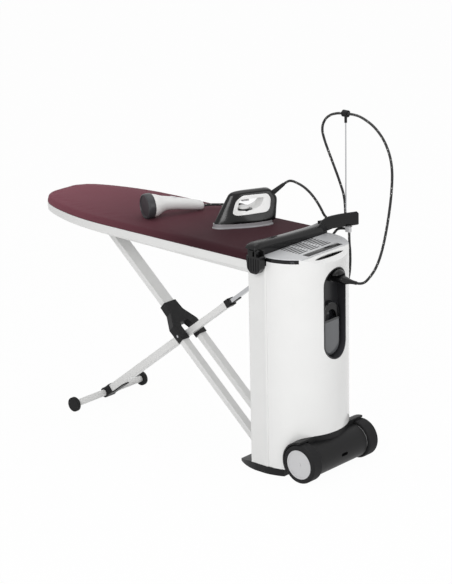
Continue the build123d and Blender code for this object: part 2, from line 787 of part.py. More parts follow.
# End rail: a moulded bar across the board's end, with a saddle-shaped top and the lever's bracket
rail_low = column_top + slip_gap
rail_drop = cover_top - rail_low
rail_tongue_z = rim_top
rail_face_x = -22
rail_near_y = -188
rail_far_y = 178
rail_over_y = -213
rail_over_rise = 20
rail_curve = ((-38, 14), (-52, 36), (-63, 42))
rail_crown_share = 0.2
rail_back_rise = 38
lever_pivot_y = -203
lever_pivot_rise = 6
lever_pivot_z = cover_top + lever_pivot_rise
ear_radius = 8
ear_width = 8
ear_starts = (-60, -32)
ear_pin = 3
saddle_points = ((-213, 24), (-192, 41), (-100, 34), (20, 25), (130, 21), (178, 30))
cover_side = Plane(origin=(0, 0, cover_top), x_dir=(1, 0, 0), z_dir=(0, -1, 0))
cover_end = Plane(origin=(board_end_x - overrun, 0, cover_top), x_dir=(0, 1, 0), z_dir=(1, 0, 0))
with BuildPart() as end_rail:
    with BuildSketch(cover_side):
        with BuildLine():
            Line((board_end_x, -rail_drop), (rail_face_x, -rail_drop))
            Line((rail_face_x, -rail_drop), (rail_face_x, -overrun))
            Spline((rail_face_x, -overrun), *rail_curve, tangents=((0, 1), (-1, rail_crown_share)))
            Line(rail_curve[-1], (board_end_x, rail_back_rise))
            Line((board_end_x, rail_back_rise), (board_end_x, -rail_drop))
        make_face()
    extrude(amount=-rail_over_y, both=True)
    with BuildSketch(cover_end):
        with BuildLine():
            Spline(*saddle_points)
            Polyline(saddle_points[-1], (rail_far_y, -rail_drop), (rail_near_y, -rail_drop),
                     (rail_near_y, rail_over_rise), (rail_over_y, rail_over_rise), saddle_points[0])
        make_face()
    extrude(amount=board_length / 2, mode=Mode.INTERSECT)
    with BuildSketch(Plane.XY.offset(rail_low)):
        with Locations(((notch_x + board_end_x) / 2, 0)):
            Rectangle(board_end_x - notch_x, 2 * notch_half - 2 * slip_gap)
    extrude(amount=rail_tongue_z - rail_low)
    with BuildSketch(Plane.XY.offset(rail_low)):
        with Locations((-column_width / 2, column_y), (-column_width / 2, -column_y)):
            Circle(tube_radius + run_gap)
    extrude(amount=tube_seat, mode=Mode.SUBTRACT)
    for start in ear_starts:
        with BuildSketch(Plane.YZ.offset(start)):
            with Locations((lever_pivot_y, lever_pivot_z)):
                Circle(ear_radius)
            with Locations((lever_pivot_y, cover_top + (lever_pivot_rise + rail_over_rise) / 2)):
                Rectangle(2 * ear_radius, rail_over_rise - lever_pivot_rise)
        extrude(amount=ear_width)
    with BuildSketch(Plane.YZ.offset(ear_starts[0])):
        with Locations((lever_pivot_y, lever_pivot_z)):
            Circle(ear_pin)
    extrude(amount=ear_starts[1] - ear_starts[0])
keep(end_rail.part, "end_rail")

# Height lever: a latch hung from the rail's near end
lever_outer_y = -216
lever_wall = 6
lever_rim = 5
lever_top_radius = lever_pivot_y - lever_outer_y
lever_drop = 65
lever_low = cover_top - lever_drop
lever_outline = ((-57, 22), (-62, -12), (-58, -48), (-44, -lever_drop), (-14, -lever_drop), (1, -45),
                 (3, -2), (-24, 22))
lever_round = 12
lever_groove_xs = (-50, -39, -28, -17, -6)
lever_groove_width = 4
lever_groove_depth = 1.5
lever_groove_rise = 9
lever_groove_z = lever_low + lever_groove_rise
lever_reach = 100


def lever_face(inset):
    # The lever's outline seen from the near side, drawn in by an inset
    with BuildSketch(mode=Mode.PRIVATE) as face:
        with BuildLine():
            Polyline(*lever_outline, lever_outline[0])
        make_face()
        fillet(face.vertices(), radius=lever_round)
        offset(amount=-inset)
    return face.sketch


with BuildPart() as height_lever:
    with BuildSketch(cover_side.offset(-lever_outer_y)):
        add(lever_face(0))
    extrude(amount=-2 * lever_top_radius)
    with BuildSketch(Plane.YZ.offset(-lever_reach)):
        with Locations((lever_pivot_y, lever_pivot_z)):
            Circle(lever_top_radius)
        with Locations((lever_pivot_y, (lever_pivot_z + lever_low) / 2)):
            Rectangle(2 * lever_top_radius, lever_pivot_z - lever_low + overrun)
    extrude(amount=2 * lever_reach, mode=Mode.INTERSECT)
    with BuildSketch(cover_side.offset(-lever_outer_y - lever_wall)):
        add(lever_face(lever_rim))
        with Locations((0, lever_pivot_rise)):
            Rectangle(2 * lever_reach, 4 * ear_radius, mode=Mode.SUBTRACT)
    extrude(amount=-2 * lever_top_radius, mode=Mode.SUBTRACT)
    with BuildSketch(Plane.XY.offset(lever_pivot_z - ear_radius - 2 * slip_gap)):
        for start in ear_starts:
            with Locations((start + ear_width / 2, lever_pivot_y)):
                Rectangle(ear_width + 2 * slip_gap, 3 * lever_top_radius)
        with Locations((ear_starts[0] - ear_width, lever_pivot_y),
                       (ear_starts[1] + 3 * ear_width, lever_pivot_y)):
            Rectangle(2 * ear_width, 3 * lever_top_radius)
    extrude(amount=3 * ear_radius, mode=Mode.SUBTRACT)
    with BuildSketch(Plane.YZ.offset(ear_starts[0])):
        with Locations((lever_pivot_y, lever_pivot_z)):
            Circle(ear_pin + run_gap)
    extrude(amount=ear_starts[1] - ear_starts[0], mode=Mode.SUBTRACT)
    with BuildSketch(Plane.XZ.offset(-lever_outer_y)):
        for groove_x in lever_groove_xs:
            with Locations((groove_x, (lever_groove_z + lever_pivot_z - 2 * ear_radius) / 2)):
                SlotOverall(lever_pivot_z - 2 * ear_radius - lever_groove_z, lever_groove_width, rotation=90)
    extrude(amount=-lever_groove_depth, mode=Mode.SUBTRACT)
keep(height_lever.part, "height_lever")

# Hose tray: a trough beyond the rail, with the mast's socket, the hose clamp and an elbow below
tray_rise = 8
tray_low = cover_top + tray_rise
tray_height = 50
tray_floor = 8
tray_wall = 3
tray_plan = ((-66, 178), (-14, 178), (34, 290), (-18, 290))
tray_back = 22
tray_step = ((-6, tray_back), (8, 28), (18, 39), (30, 47), (46, tray_height))
tray_slant = 10
tray_end_drop = 8
mast_x = 8
mast_y = 249
mast_radius = 2.5
mast_seat = 2
mast_low = tray_low + mast_seat
mast_length = 402
mast_high = mast_low + mast_length
mast_boss = 7
mast_boss_height = 28
clamp_x = -9
clamp_y = 266
clamp_length = 28
clamp_width = 22
clamp_height = 30
clamp_top = tray_low + clamp_height
clamp_turn = -23
elbow_x = 10
elbow_y = 252
elbow_length = 40
elbow_width = 18
elbow_height = 24
elbow_low = tray_low - elbow_height
tray_run = math.hypot(tray_plan[2][0] - tray_plan[1][0], tray_plan[2][1] - tray_plan[1][1])
tray_way = ((tray_plan[2][0] - tray_plan[1][0]) / tray_run, (tray_plan[2][1] - tray_plan[1][1]) / tray_run)
tray_wall_plane = Plane(origin=(*tray_plan[1], tray_low), x_dir=(*tray_way, 0),
                        z_dir=(tray_way[1], -tray_way[0], 0))
with BuildPart() as hose_tray:
    with BuildSketch(Plane.XY.offset(tray_low)):
        with BuildLine():
            Polyline(*tray_plan, tray_plan[0])
        make_face()
    extrude(amount=tray_height)
    with BuildSketch(Plane.XY.offset(tray_low + tray_floor)):
        with BuildLine():
            Polyline(*tray_plan, tray_plan[0])
        make_face()
        offset(amount=-tray_wall)
    extrude(amount=tray_height, mode=Mode.SUBTRACT)
    with BuildSketch(tray_wall_plane.offset(-tray_wall)):
        with Locations((0, tray_back + tray_run)):
            Rectangle(4 * tray_run, 2 * tray_run)
    extrude(amount=-tray_run, mode=Mode.SUBTRACT)
    with BuildSketch(tray_wall_plane):
        with BuildLine():
            Polyline((-tray_run, tray_back), *tray_step, (tray_run - tray_end_drop, tray_height),
                     (tray_run, tray_height - tray_end_drop), (tray_run - tray_slant, 0),
                     (-tray_run, 0), (-tray_run, tray_back))
        make_face()
    extrude(amount=tray_run, both=True, mode=Mode.INTERSECT)
    with BuildSketch(Plane.XY.offset(tray_low)):
        with Locations((mast_x, mast_y)):
            Circle(mast_boss)
    extrude(amount=mast_boss_height)
    with BuildSketch(Plane.XY.offset(tray_low + tray_floor / 2)):
        with Locations((clamp_x, clamp_y)):
            Rectangle(clamp_width, clamp_length, rotation=clamp_turn)
    extrude(amount=clamp_height - tray_floor / 2)
    with BuildSketch(Plane.XY.offset(mast_low)):
        with Locations((mast_x, mast_y)):
            Circle(mast_radius)
    extrude(amount=mast_length, mode=Mode.SUBTRACT)
    with BuildSketch(Plane.XY.offset(tray_low)):
        with Locations((elbow_x, elbow_y)):
            Rectangle(elbow_length, elbow_width)
    extrude(amount=-elbow_height)
keep(hose_tray.part, "hose_tray")

with BuildPart() as hose_mast:
    with BuildSketch(Plane.XY.offset(mast_low)):
        with Locations((mast_x, mast_y)):
            Circle(mast_radius)
    extrude(amount=mast_high - mast_low)
keep(hose_mast.part, "hose_mast")

# Mast clip: the eye at the mast's tip that the hose runs through
clip_rise = 11
clip_z = mast_high + clip_rise
clip_radius = 12.5
clip_bore = 8.5
clip_length = 22
clip_stem = 5
with BuildPart() as mast_clip:
    with BuildSketch(Plane.XY.offset(mast_high - clip_length)):
        with Locations((mast_x, mast_y)):
            Circle(clip_stem)
    extrude(amount=clip_length + clip_z - mast_high)
    with BuildSketch(Plane.YZ.offset(mast_x - clip_length / 2)):
        with Locations((mast_y, clip_z)):
            Circle(clip_radius)
    extrude(amount=clip_length)
    with BuildSketch(Plane.YZ.offset(mast_x - clip_length)):
        with Locations((mast_y, clip_z)):
            Circle(clip_bore)
    extrude(amount=2 * clip_length, mode=Mode.SUBTRACT)
    with BuildSketch(Plane.XY.offset(mast_high - 2 * clip_length)):
        with Locations((mast_x, mast_y)):
            Circle(mast_radius)
    extrude(amount=2 * clip_length, mode=Mode.SUBTRACT)
keep(mast_clip.part, "mast_clip")

# Leg bracket: two plates under the rail, each with a short slot for leg B's pin
bracket_y = 22
bracket_plate = 5
bracket_low = 742
bracket_xs = (-64, -22)
bracket_flange = 4
bracket_half = 44
pin_radius = 5
slot_drop = 1
slot_rise = 6.5
with BuildPart() as leg_bracket:
    with BuildSketch(Plane.XY.offset(rail_low)):
        with Locations(((bracket_xs[0] + bracket_xs[1]) / 2, 0)):
            Rectangle(bracket_xs[1] - bracket_xs[0], 2 * bracket_half)
    extrude(amount=-bracket_flange)
    for start in (bracket_y, -bracket_y - bracket_plate):
        with BuildSketch(Plane.XZ.offset(-start)):
            with Locations(((bracket_xs[0] + bracket_xs[1]) / 2, (bracket_low + rail_low) / 2)):
                Rectangle(bracket_xs[1] - bracket_xs[0], rail_low - bracket_low)
            with Locations((board_pivot_x, board_pivot_z + (slot_rise - slot_drop) / 2)):
                SlotCenterToCenter(slot_rise + slot_drop, 2 * (pin_radius + run_gap), rotation=90,
                                   mode=Mode.SUBTRACT)
        extrude(amount=-bracket_plate)
keep(leg_bracket.part, "leg_bracket")

# Suction fan in the board: a grille under the pan and the impeller above it
grille_radius = 70
grille_plate = 3
grille_hub = 14
grille_slot = 44
grille_slot_width = 9
grille_slots = 12
fan_shaft = 4
fan_rise = 14
fan_low = pan_low_z + fan_rise
fan_height = 24
fan_high = fan_low + fan_height
fan_shaft_rise = 17
fan_shaft_top = fan_low + fan_shaft_rise
fan_back = 3
fan_hub = 13
fan_radius = 57
fan_blades = 7
fan_blade_length = 42
fan_blade_width = 2.4
fan_blade_turn = 28
floor_plane = Plane(origin=(fan_x, 0, floor_z(fan_x)), x_dir=(1, 0, -floor_slope), z_dir=(floor_slope, 0, 1))
with BuildPart() as fan_grille:
    with BuildSketch(floor_plane):
        Circle(grille_radius)
        with PolarLocations((grille_hub + fan_hole) / 2, grille_slots):
            SlotOverall(grille_slot, grille_slot_width, mode=Mode.SUBTRACT)
    extrude(amount=-grille_plate)
    with BuildSketch(Plane.XY.offset(floor_z(fan_x) - grille_plate / 2)):
        with Locations((fan_x, 0)):
            Circle(fan_shaft)
    extrude(amount=fan_shaft_top - floor_z(fan_x) + grille_plate / 2)
keep(fan_grille.part, "fan_grille")

with BuildPart() as fan_rotor:
    with BuildSketch(Plane.XY.offset(fan_high)):
        with Locations((fan_x, 0)):
            Circle(fan_radius)
    extrude(amount=-fan_back)
    with BuildSketch(Plane.XY.offset(fan_high)):
        with Locations((fan_x, 0)):
            Circle(fan_hub)
            with PolarLocations(fan_radius - fan_blade_length / 2, fan_blades):
                Rectangle(fan_blade_length, fan_blade_width, rotation=fan_blade_turn)
    extrude(amount=fan_low - fan_high)
    with BuildSketch(Plane.XY.offset(fan_low)):
        with Locations((fan_x, 0)):
            Circle(fan_shaft + run_gap)
    extrude(amount=fan_shaft_top - fan_low + slip_gap, mode=Mode.SUBTRACT)
keep(fan_rotor.part, "fan_rotor")

# Leg A: a box profile below the board, and a fork and two rails below the crossing
profile_width = 54.5
profile_depth = 22.8
profile_wall = 2
profile_start = 100
profile_stop = 12
roller_rise = 3
roller_axis_z = pan_low_z + roller_rise
reach_a = (roller_axis_z - base_pivot[1]) / math.sin(angle_a)
cheek_y = 21
cheek_plate = 6
cheek_radius = 8.5
cheek_length = 40
crossing_pin = 6


def box_ring(width, depth, wall):
    # A hollow rectangular profile, as a sketch
    with BuildSketch(mode=Mode.PRIVATE) as ring:
        RectangleRounded(width, depth, 1.5 * wall)
        Rectangle(width - 2 * wall, depth - 2 * wall, mode=Mode.SUBTRACT)
    return ring.sketch


def leg_side(start_y, reach_point):
    # A plane facing +Y whose local x runs up the leg
    return Plane(origin=reach_point + Vector(0, start_y, 0), x_dir=along_a, z_dir=(0, 1, 0))


with BuildPart() as leg_a_upper:
    with BuildSketch(section_a(lower_a + profile_start)):
        add(box_ring(profile_width, profile_depth, profile_wall))
    extrude(amount=reach_a - profile_stop - lower_a - profile_start)
    for start in (cheek_y, -cheek_y - cheek_plate):
        with BuildSketch(leg_side(start, point_a(reach_a))):
            Circle(cheek_radius)
            with Locations((-cheek_length / 2, 0)):
                Rectangle(cheek_length, 2 * cheek_radius)
        extrude(amount=cheek_plate)
    with BuildSketch(leg_side(0, point_a(reach_a))):
        Circle(pin_radius)
    extrude(amount=2 * cheek_y, both=True, mode=Mode.SUBTRACT)
keep(leg_a_upper.part, "leg_a_upper")

# Top rollers: a shaft and two rollers that run in the board's channels
roller_radius = 10
roller_y = 34.5
roller_width = 11.5
with BuildPart() as top_rollers:
    with BuildSketch(leg_side(0, point_a(reach_a))):
        Circle(pin_radius - run_gap)
    extrude(amount=roller_y + roller_width, both=True)
    for start in (roller_y, -roller_y - roller_width):
        with BuildSketch(leg_side(start, point_a(reach_a))):
            Circle(roller_radius)
        extrude(amount=roller_width)
keep(top_rollers.part, "top_rollers")

# Leg A's two rails, from the base shaft to the fork
rail_width = 33.5
rail_depth = 23
rail_wall = 2
rail_inner_y = 30.2
rail_y = rail_inner_y + rail_width / 2
rail_start = 13
rail_stop = 14
with BuildPart() as leg_a_rails:
    for side in (-rail_y, rail_y):
        with BuildSketch(section_a(-rail_start, side)):
            add(box_ring(rail_width, rail_depth, rail_wall))
        extrude(amount=lower_a - rail_stop + rail_start)
    with BuildSketch(leg_side(0, point_a(0))):
        Circle(shaft_radius + run_gap)
    extrude(amount=2 * rail_y, both=True, mode=Mode.SUBTRACT)
keep(leg_a_rails.part, "leg_a_rails")

# Fork: the moulded joint piece that widens from the profile to the two rails round leg B
fork_depth = 30
fork_half = 66
fork_slot = 27.5
fork_edge = ((140, 31), (95, 34), (38, 66), (-25, 66), (-25, 27.5), (28, 27.5), (45, 20))
fork_pocket = 0.15
with BuildPart() as leg_fork:
    with BuildSketch(Plane(origin=point_a(lower_a), x_dir=along_a, z_dir=above_a)):
        with BuildLine():
            Polyline(*fork_edge, (fork_edge[-1][0], -fork_edge[-1][1]))
            mirror(about=Plane.XZ)
            Line((fork_edge[0][0], fork_edge[0][1]), (fork_edge[0][0], -fork_edge[0][1]))
        make_face()
    extrude(amount=fork_depth / 2, both=True)
    with BuildSketch(section_a(lower_a + profile_start)):
        Rectangle(profile_width + 2 * fork_pocket, profile_depth + 2 * fork_pocket)
    extrude(amount=profile_start, mode=Mode.SUBTRACT)
    for side in (-rail_y, rail_y):
        with BuildSketch(section_a(lower_a - rail_stop, side)):
            Rectangle(rail_width + 2 * fork_pocket, rail_depth + 2 * fork_pocket)
        extrude(amount=-rail_stop - overrun, mode=Mode.SUBTRACT)
    with BuildSketch(leg_side(0, point_a(lower_a))):
        Circle(crossing_pin + run_gap)
    extrude(amount=2 * fork_half, both=True, mode=Mode.SUBTRACT)
keep(leg_fork.part, "leg_fork")

# Leg B: three profiles that telescope for storage
low_b_width = 43.3
low_b_depth = 29.3
low_b_room = (30.6, 24.8)
mid_b_width = 30.2
mid_b_depth = 24.4
mid_b_room = (19.8, 15)
inner_b_width = 19.2
inner_b_depth = 14.4
low_b_short = 45
mid_b_lap = 60
inner_b_over = 8
low_b_reach = (14, lower_b - low_b_short)
mid_b_end = 826
inner_b_lap = 66
mid_b_reach = (lower_b - mid_b_lap, mid_b_end)
inner_b_reach = (mid_b_end - inner_b_lap, lower_b + upper_b + inner_b_over)
pin_bore_b = lower_b + upper_b
with BuildPart() as leg_b_lower:
    with BuildSketch(section_b(low_b_reach[0])):
        RectangleRounded(low_b_width, low_b_depth, pin_radius)
        Rectangle(*low_b_room, mode=Mode.SUBTRACT)
    extrude(amount=low_b_reach[1] - low_b_reach[0])
keep(leg_b_lower.part, "leg_b_lower")


def leg_b_bore(reach, start_y):
    # A plane across leg B at a reach from the foot, facing +Y
    return Plane(origin=point_b(reach) + Vector(0, start_y, 0), x_dir=along_b, z_dir=(0, 1, 0))


with BuildPart() as leg_b_middle:
    with BuildSketch(section_b(mid_b_reach[0])):
        RectangleRounded(mid_b_width, mid_b_depth, profile_wall)
        Rectangle(*mid_b_room, mode=Mode.SUBTRACT)
    extrude(amount=mid_b_reach[1] - mid_b_reach[0])
    with BuildSketch(leg_b_bore(lower_b, 0)):
        Circle(crossing_pin + run_gap)
    extrude(amount=mid_b_width, both=True, mode=Mode.SUBTRACT)
keep(leg_b_middle.part, "leg_b_middle")

with BuildPart() as leg_b_inner:
    with BuildSketch(section_b(inner_b_reach[0])):
        Rectangle(inner_b_width, inner_b_depth)
        Rectangle(inner_b_width - 2 * profile_wall, inner_b_depth - 2 * profile_wall, mode=Mode.SUBTRACT)
    extrude(amount=inner_b_reach[1] - inner_b_reach[0])
    with BuildSketch(leg_b_bore(pin_bore_b, 0)):
        Circle(pin_radius)
    extrude(amount=inner_b_width, both=True, mode=Mode.SUBTRACT)
keep(leg_b_inner.part, "leg_b_inner")

# Collar: the catch at the mouth of the middle profile, with its tongue along the inner one
collar_width = 35
collar_depth = 29
collar_lap = 14
collar_lip = 8
collar_reach = (mid_b_reach[1] - collar_lap, mid_b_reach[1] + collar_lip)
tongue_length = 44
tongue_depth = 3
with BuildPart() as leg_b_collar:
    with BuildSketch(section_b(collar_reach[0])):
        RectangleRounded(collar_width, collar_depth, profile_wall)
        Rectangle(mid_b_width + slip_gap, mid_b_depth + slip_gap, mode=Mode.SUBTRACT)
    extrude(amount=mid_b_reach[1] - collar_reach[0])
    with BuildSketch(section_b(mid_b_reach[1])):
        RectangleRounded(collar_width, collar_depth, profile_wall)
        Rectangle(inner_b_width + slip_gap, inner_b_depth + slip_gap, mode=Mode.SUBTRACT)
    extrude(amount=collar_reach[1] - mid_b_reach[1])
    with BuildSketch(section_b(collar_reach[1], 0, -(inner_b_depth + slip_gap + tongue_depth) / 2)):
        Rectangle(inner_b_width, tongue_depth)
    extrude(amount=tongue_length)
keep(leg_b_collar.part, "leg_b_collar")

# Pins of leg B, with the spacers that keep it in the middle of the fork
spacer_radius = 9
spacer_end = 27.2
with BuildPart() as leg_pins:
    with BuildSketch(leg_b_bore(lower_b, 0)):
        Circle(crossing_pin)
    extrude(amount=fork_half - profile_wall, both=True)
    for start in (mid_b_width / 2, -spacer_end):
        with BuildSketch(leg_b_bore(lower_b, start)):
            Circle(spacer_radius)
        extrude(amount=spacer_end - mid_b_width / 2)
    with BuildSketch(leg_b_bore(pin_bore_b, 0)):
        Circle(pin_radius - run_gap)
    extrude(amount=bracket_y + bracket_plate, both=True)
keep(leg_pins.part, "leg_pins")

# Foot: a cross tube held in a moulded bracket, with a rubber disc at each end
foot_radius = 13
foot_half = 181
bracket_width = 50
bracket_height = 36
bracket_reach = (6, 44)
ring_radius = 20
ring_half = 22
strip_reach = 110
strip_thickness = 4
cap_disc_radius = 28.3
cap_disc = (178, 194)
cap_wall = 3
with BuildPart() as foot_bracket:
    with BuildSketch(section_b(bracket_reach[0])):
        RectangleRounded(bracket_width, bracket_height, pin_radius)
    extrude(amount=bracket_reach[1] - bracket_reach[0])
    with BuildSketch(cross_plane(foot_axle[0], foot_axle[1], -ring_half)):
        Circle(ring_radius)
    extrude(amount=2 * ring_half)
    with BuildSketch(section_b(bracket_reach[1], 0, -(low_b_depth + strip_thickness) / 2)):
        Rectangle(low_b_width - 2 * pin_radius, strip_thickness)
    extrude(amount=strip_reach - bracket_reach[1])
    with BuildSketch(section_b(low_b_reach[0])):
        Rectangle(low_b_width + slip_gap, low_b_depth)
    extrude(amount=strip_reach, mode=Mode.SUBTRACT)
    with BuildSketch(cross_plane(foot_axle[0], foot_axle[1], -bracket_width)):
        Circle(foot_radius)
    extrude(amount=2 * bracket_width, mode=Mode.SUBTRACT)
keep(foot_bracket.part, "foot_bracket")

with BuildPart() as foot_tube:
    with BuildSketch(cross_plane(foot_axle[0], foot_axle[1], -foot_half)):
        Circle(foot_radius)
        Circle(foot_radius - profile_wall, mode=Mode.SUBTRACT)
    extrude(amount=2 * foot_half)
keep(foot_tube.part, "foot_tube")

with BuildPart() as near_disc:
    with BuildSketch(cross_plane(foot_axle[0], foot_axle[1], -cap_disc[1])):
        Circle(cap_disc_radius)
    extrude(amount=cap_disc[1] - cap_disc[0])
    fillet(near_disc.edges().filter_by(GeomType.CIRCLE), radius=cap_wall)
    with BuildSketch(cross_plane(foot_axle[0], foot_axle[1], -foot_half)):
        Circle(foot_radius)
    extrude(amount=foot_half - cap_disc[0], mode=Mode.SUBTRACT)
foot_caps = Compound(children=[near_disc.part, mirror(near_disc.part, about=Plane.XZ)])
keep(foot_caps, "foot_caps")

# Iron: it rests on the cover, nose first along its own s axis, with u across and z up
tool_gap = 0.3
iron_turn = math.radians(63)
iron_plane = Plane(origin=(-360, -65, cover_top + tool_gap),
                   x_dir=(math.cos(iron_turn), math.sin(iron_turn), 0), z_dir=(0, 0, 1))


def tool_side(base, across=0):
    # The side view of a hand tool: local x along the tool, local y up
    return Plane(origin=base.from_local_coords((0, across, 0)), x_dir=base.x_dir, z_dir=-base.y_dir)


def tool_section(base, along, lift=0):
    # A plane across a hand tool, facing along it
    return Plane(origin=base.from_local_coords((along, 0, lift)), x_dir=base.y_dir, z_dir=base.x_dir)


sole_bends = ((60, 33), (125, 48))
sole_half = 49
sole_heel_half = 36
sole_heel_run = 35
sole_nose_way = (0.4, 1)
sole_heel_way = (0.6, -1)


def sole_outline(inset, nose, heel):
    # A sole's plan: pointed at the nose, rounded at the heel
    with BuildSketch(mode=Mode.PRIVATE) as sole:
        with BuildLine():
            Spline((nose + inset, 0), *[(x, y - inset) for x, y in sole_bends],
                   (heel - sole_heel_run, sole_half - inset), (heel - inset, sole_heel_half - inset),
                   tangents=(sole_nose_way, sole_heel_way))
            mirror(about=Plane.XZ)
            Line((heel - inset, sole_heel_half - inset), (heel - inset, inset - sole_heel_half))
        make_face()
    return sole.sketch


def loop_face(points, rounding):
    # A closed polygon with rounded corners
    with BuildSketch(mode=Mode.PRIVATE) as face:
        with BuildLine():
            Polyline(*points, points[0])
        make_face()
        fillet(face.vertices(), radius=rounding)
    return face.sketch


sole_nose = 2
sole_heel = 225
sole_plate = 6
skirt_height = 14
skirt_inset_iron = 3
with BuildPart() as iron_soleplate:
    with BuildSketch(iron_plane):
        add(sole_outline(0, sole_nose, sole_heel))
    extrude(amount=sole_plate)
    with BuildSketch(iron_plane.offset(sole_plate)):
        add(sole_outline(skirt_inset_iron, sole_nose, sole_heel))
    extrude(amount=skirt_height)
keep(iron_soleplate.part, "iron_soleplate")

iron_base_z = sole_plate + skirt_height
iron_side = ((8, 20), (70, 127), (111, 131), (222, 130), (250, 96), (237, 20))
iron_side_round = 12
iron_front_foot = ((48, 20), (47.5, 27))
iron_front_sides = ((43, 38), (31, 52), (23, 68), (20, 100))
iron_front_top = ((17.5, 124), (12, 131))
iron_heel = 252
iron_length = 260
ring_outer = ((75, 49), (91, 99), (115, 117), (218, 114), (228, 98), (220, 54), (196, 38))
ring_opening = ((87, 70), (103, 102), (197, 102), (184, 73), (149, 70))
ring_rounding = 7
ring_half_width = 24
trigger_s = 130
trigger_length = 28
trigger_half = 8
trigger_low = 93
trigger_high = 104
trigger_travel = 3
dial_s = 128
dial_radius = 17
dial_low = 62
dial_high = 74
opening_top = 102
with BuildPart() as iron_body:
    with BuildSketch(tool_side(iron_plane)):
        add(loop_face(iron_side, iron_side_round))
        with Locations((iron_length / 2, iron_base_z + iron_side_round / 2)):
            Rectangle(iron_length - 6 * iron_side_round, iron_side_round)
    extrude(amount=iron_length / 2, both=True)
    with BuildSketch(iron_plane.offset(iron_base_z)):
        add(sole_outline(skirt_inset_iron, sole_nose, iron_heel))
    extrude(amount=iron_length, mode=Mode.INTERSECT)
    with BuildSketch(tool_section(iron_plane, 0)):
        with BuildLine():
            Line(*iron_front_foot)
            Spline(iron_front_foot[1], *iron_front_sides, iron_front_top[0], tangents=((0, 1), (0, 1)))
            Line(*iron_front_top)
            Line(iron_front_top[1], (0, iron_front_top[1][1]))
            mirror(about=Plane.YZ)
            Line(iron_front_foot[0], (-iron_front_foot[0][0], iron_front_foot[0][1]))
        make_face()
    extrude(amount=iron_length, mode=Mode.INTERSECT)
    with BuildSketch(tool_side(iron_plane)):
        add(loop_face(ring_outer, ring_rounding))
    extrude(amount=ring_half_width, both=True, mode=Mode.SUBTRACT)
keep(iron_body.part, "iron_body")

with BuildPart() as iron_handle_ring:
    with BuildSketch(tool_side(iron_plane)):
        add(loop_face(ring_outer, ring_rounding))
        add(loop_face(ring_opening, ring_rounding), mode=Mode.SUBTRACT)
    extrude(amount=ring_half_width, both=True)
    with BuildSketch(iron_plane.offset(opening_top - slip_gap)):
        with Locations((trigger_s, 0)):
            Rectangle(trigger_length + 2 * slip_gap, 2 * trigger_half + 2 * slip_gap)
    extrude(amount=2 * trigger_travel, mode=Mode.SUBTRACT)
    with BuildSketch(iron_plane.offset(dial_low)):
        with Locations((dial_s, 0)):
            Circle(dial_radius + slip_gap)
    extrude(amount=dial_high - dial_low, mode=Mode.SUBTRACT)
keep(iron_handle_ring.part, "iron_handle_ring")

with BuildPart() as iron_trigger:
    with BuildSketch(iron_plane.offset(trigger_low)):
        with Locations((trigger_s, 0)):
            RectangleRounded(trigger_length, 2 * trigger_half, trigger_half / 2)
    extrude(amount=trigger_high - trigger_low)
keep(iron_trigger.part, "iron_trigger")

dial_grips = 12
dial_grip_radius = 1.6
with BuildPart() as iron_dial:
    with BuildSketch(iron_plane.offset(dial_low)):
        with Locations((dial_s, 0)):
            Circle(dial_radius)
            with PolarLocations(dial_radius, dial_grips):
                Circle(dial_grip_radius, mode=Mode.SUBTRACT)
    extrude(amount=dial_high - dial_low)
keep(iron_dial.part, "iron_dial")

relief_start = (236, 107.6)
relief_end = (283, 137)
relief_start_radius = 10
relief_end_radius = 6.2
relief_run = math.hypot(relief_end[0] - relief_start[0], relief_end[1] - relief_start[1])
relief_way = (iron_plane.x_dir * (relief_end[0] - relief_start[0])
              + iron_plane.z_dir * (relief_end[1] - relief_start[1])) / relief_run
relief_root = iron_plane.from_local_coords((relief_start[0], 0, relief_start[1]))
iron_hose_end = relief_root + relief_way * relief_run
with BuildPart() as iron_hose_relief:
    with BuildSketch(Plane(origin=relief_root, x_dir=iron_plane.y_dir, z_dir=relief_way)):
        Circle(relief_start_radius)
    with BuildSketch(Plane(origin=iron_hose_end, x_dir=iron_plane.y_dir, z_dir=relief_way)):
        Circle(relief_end_radius)
    loft()
    add(iron_body.part, mode=Mode.SUBTRACT)
keep(iron_hose_relief.part, "iron_hose_relief")

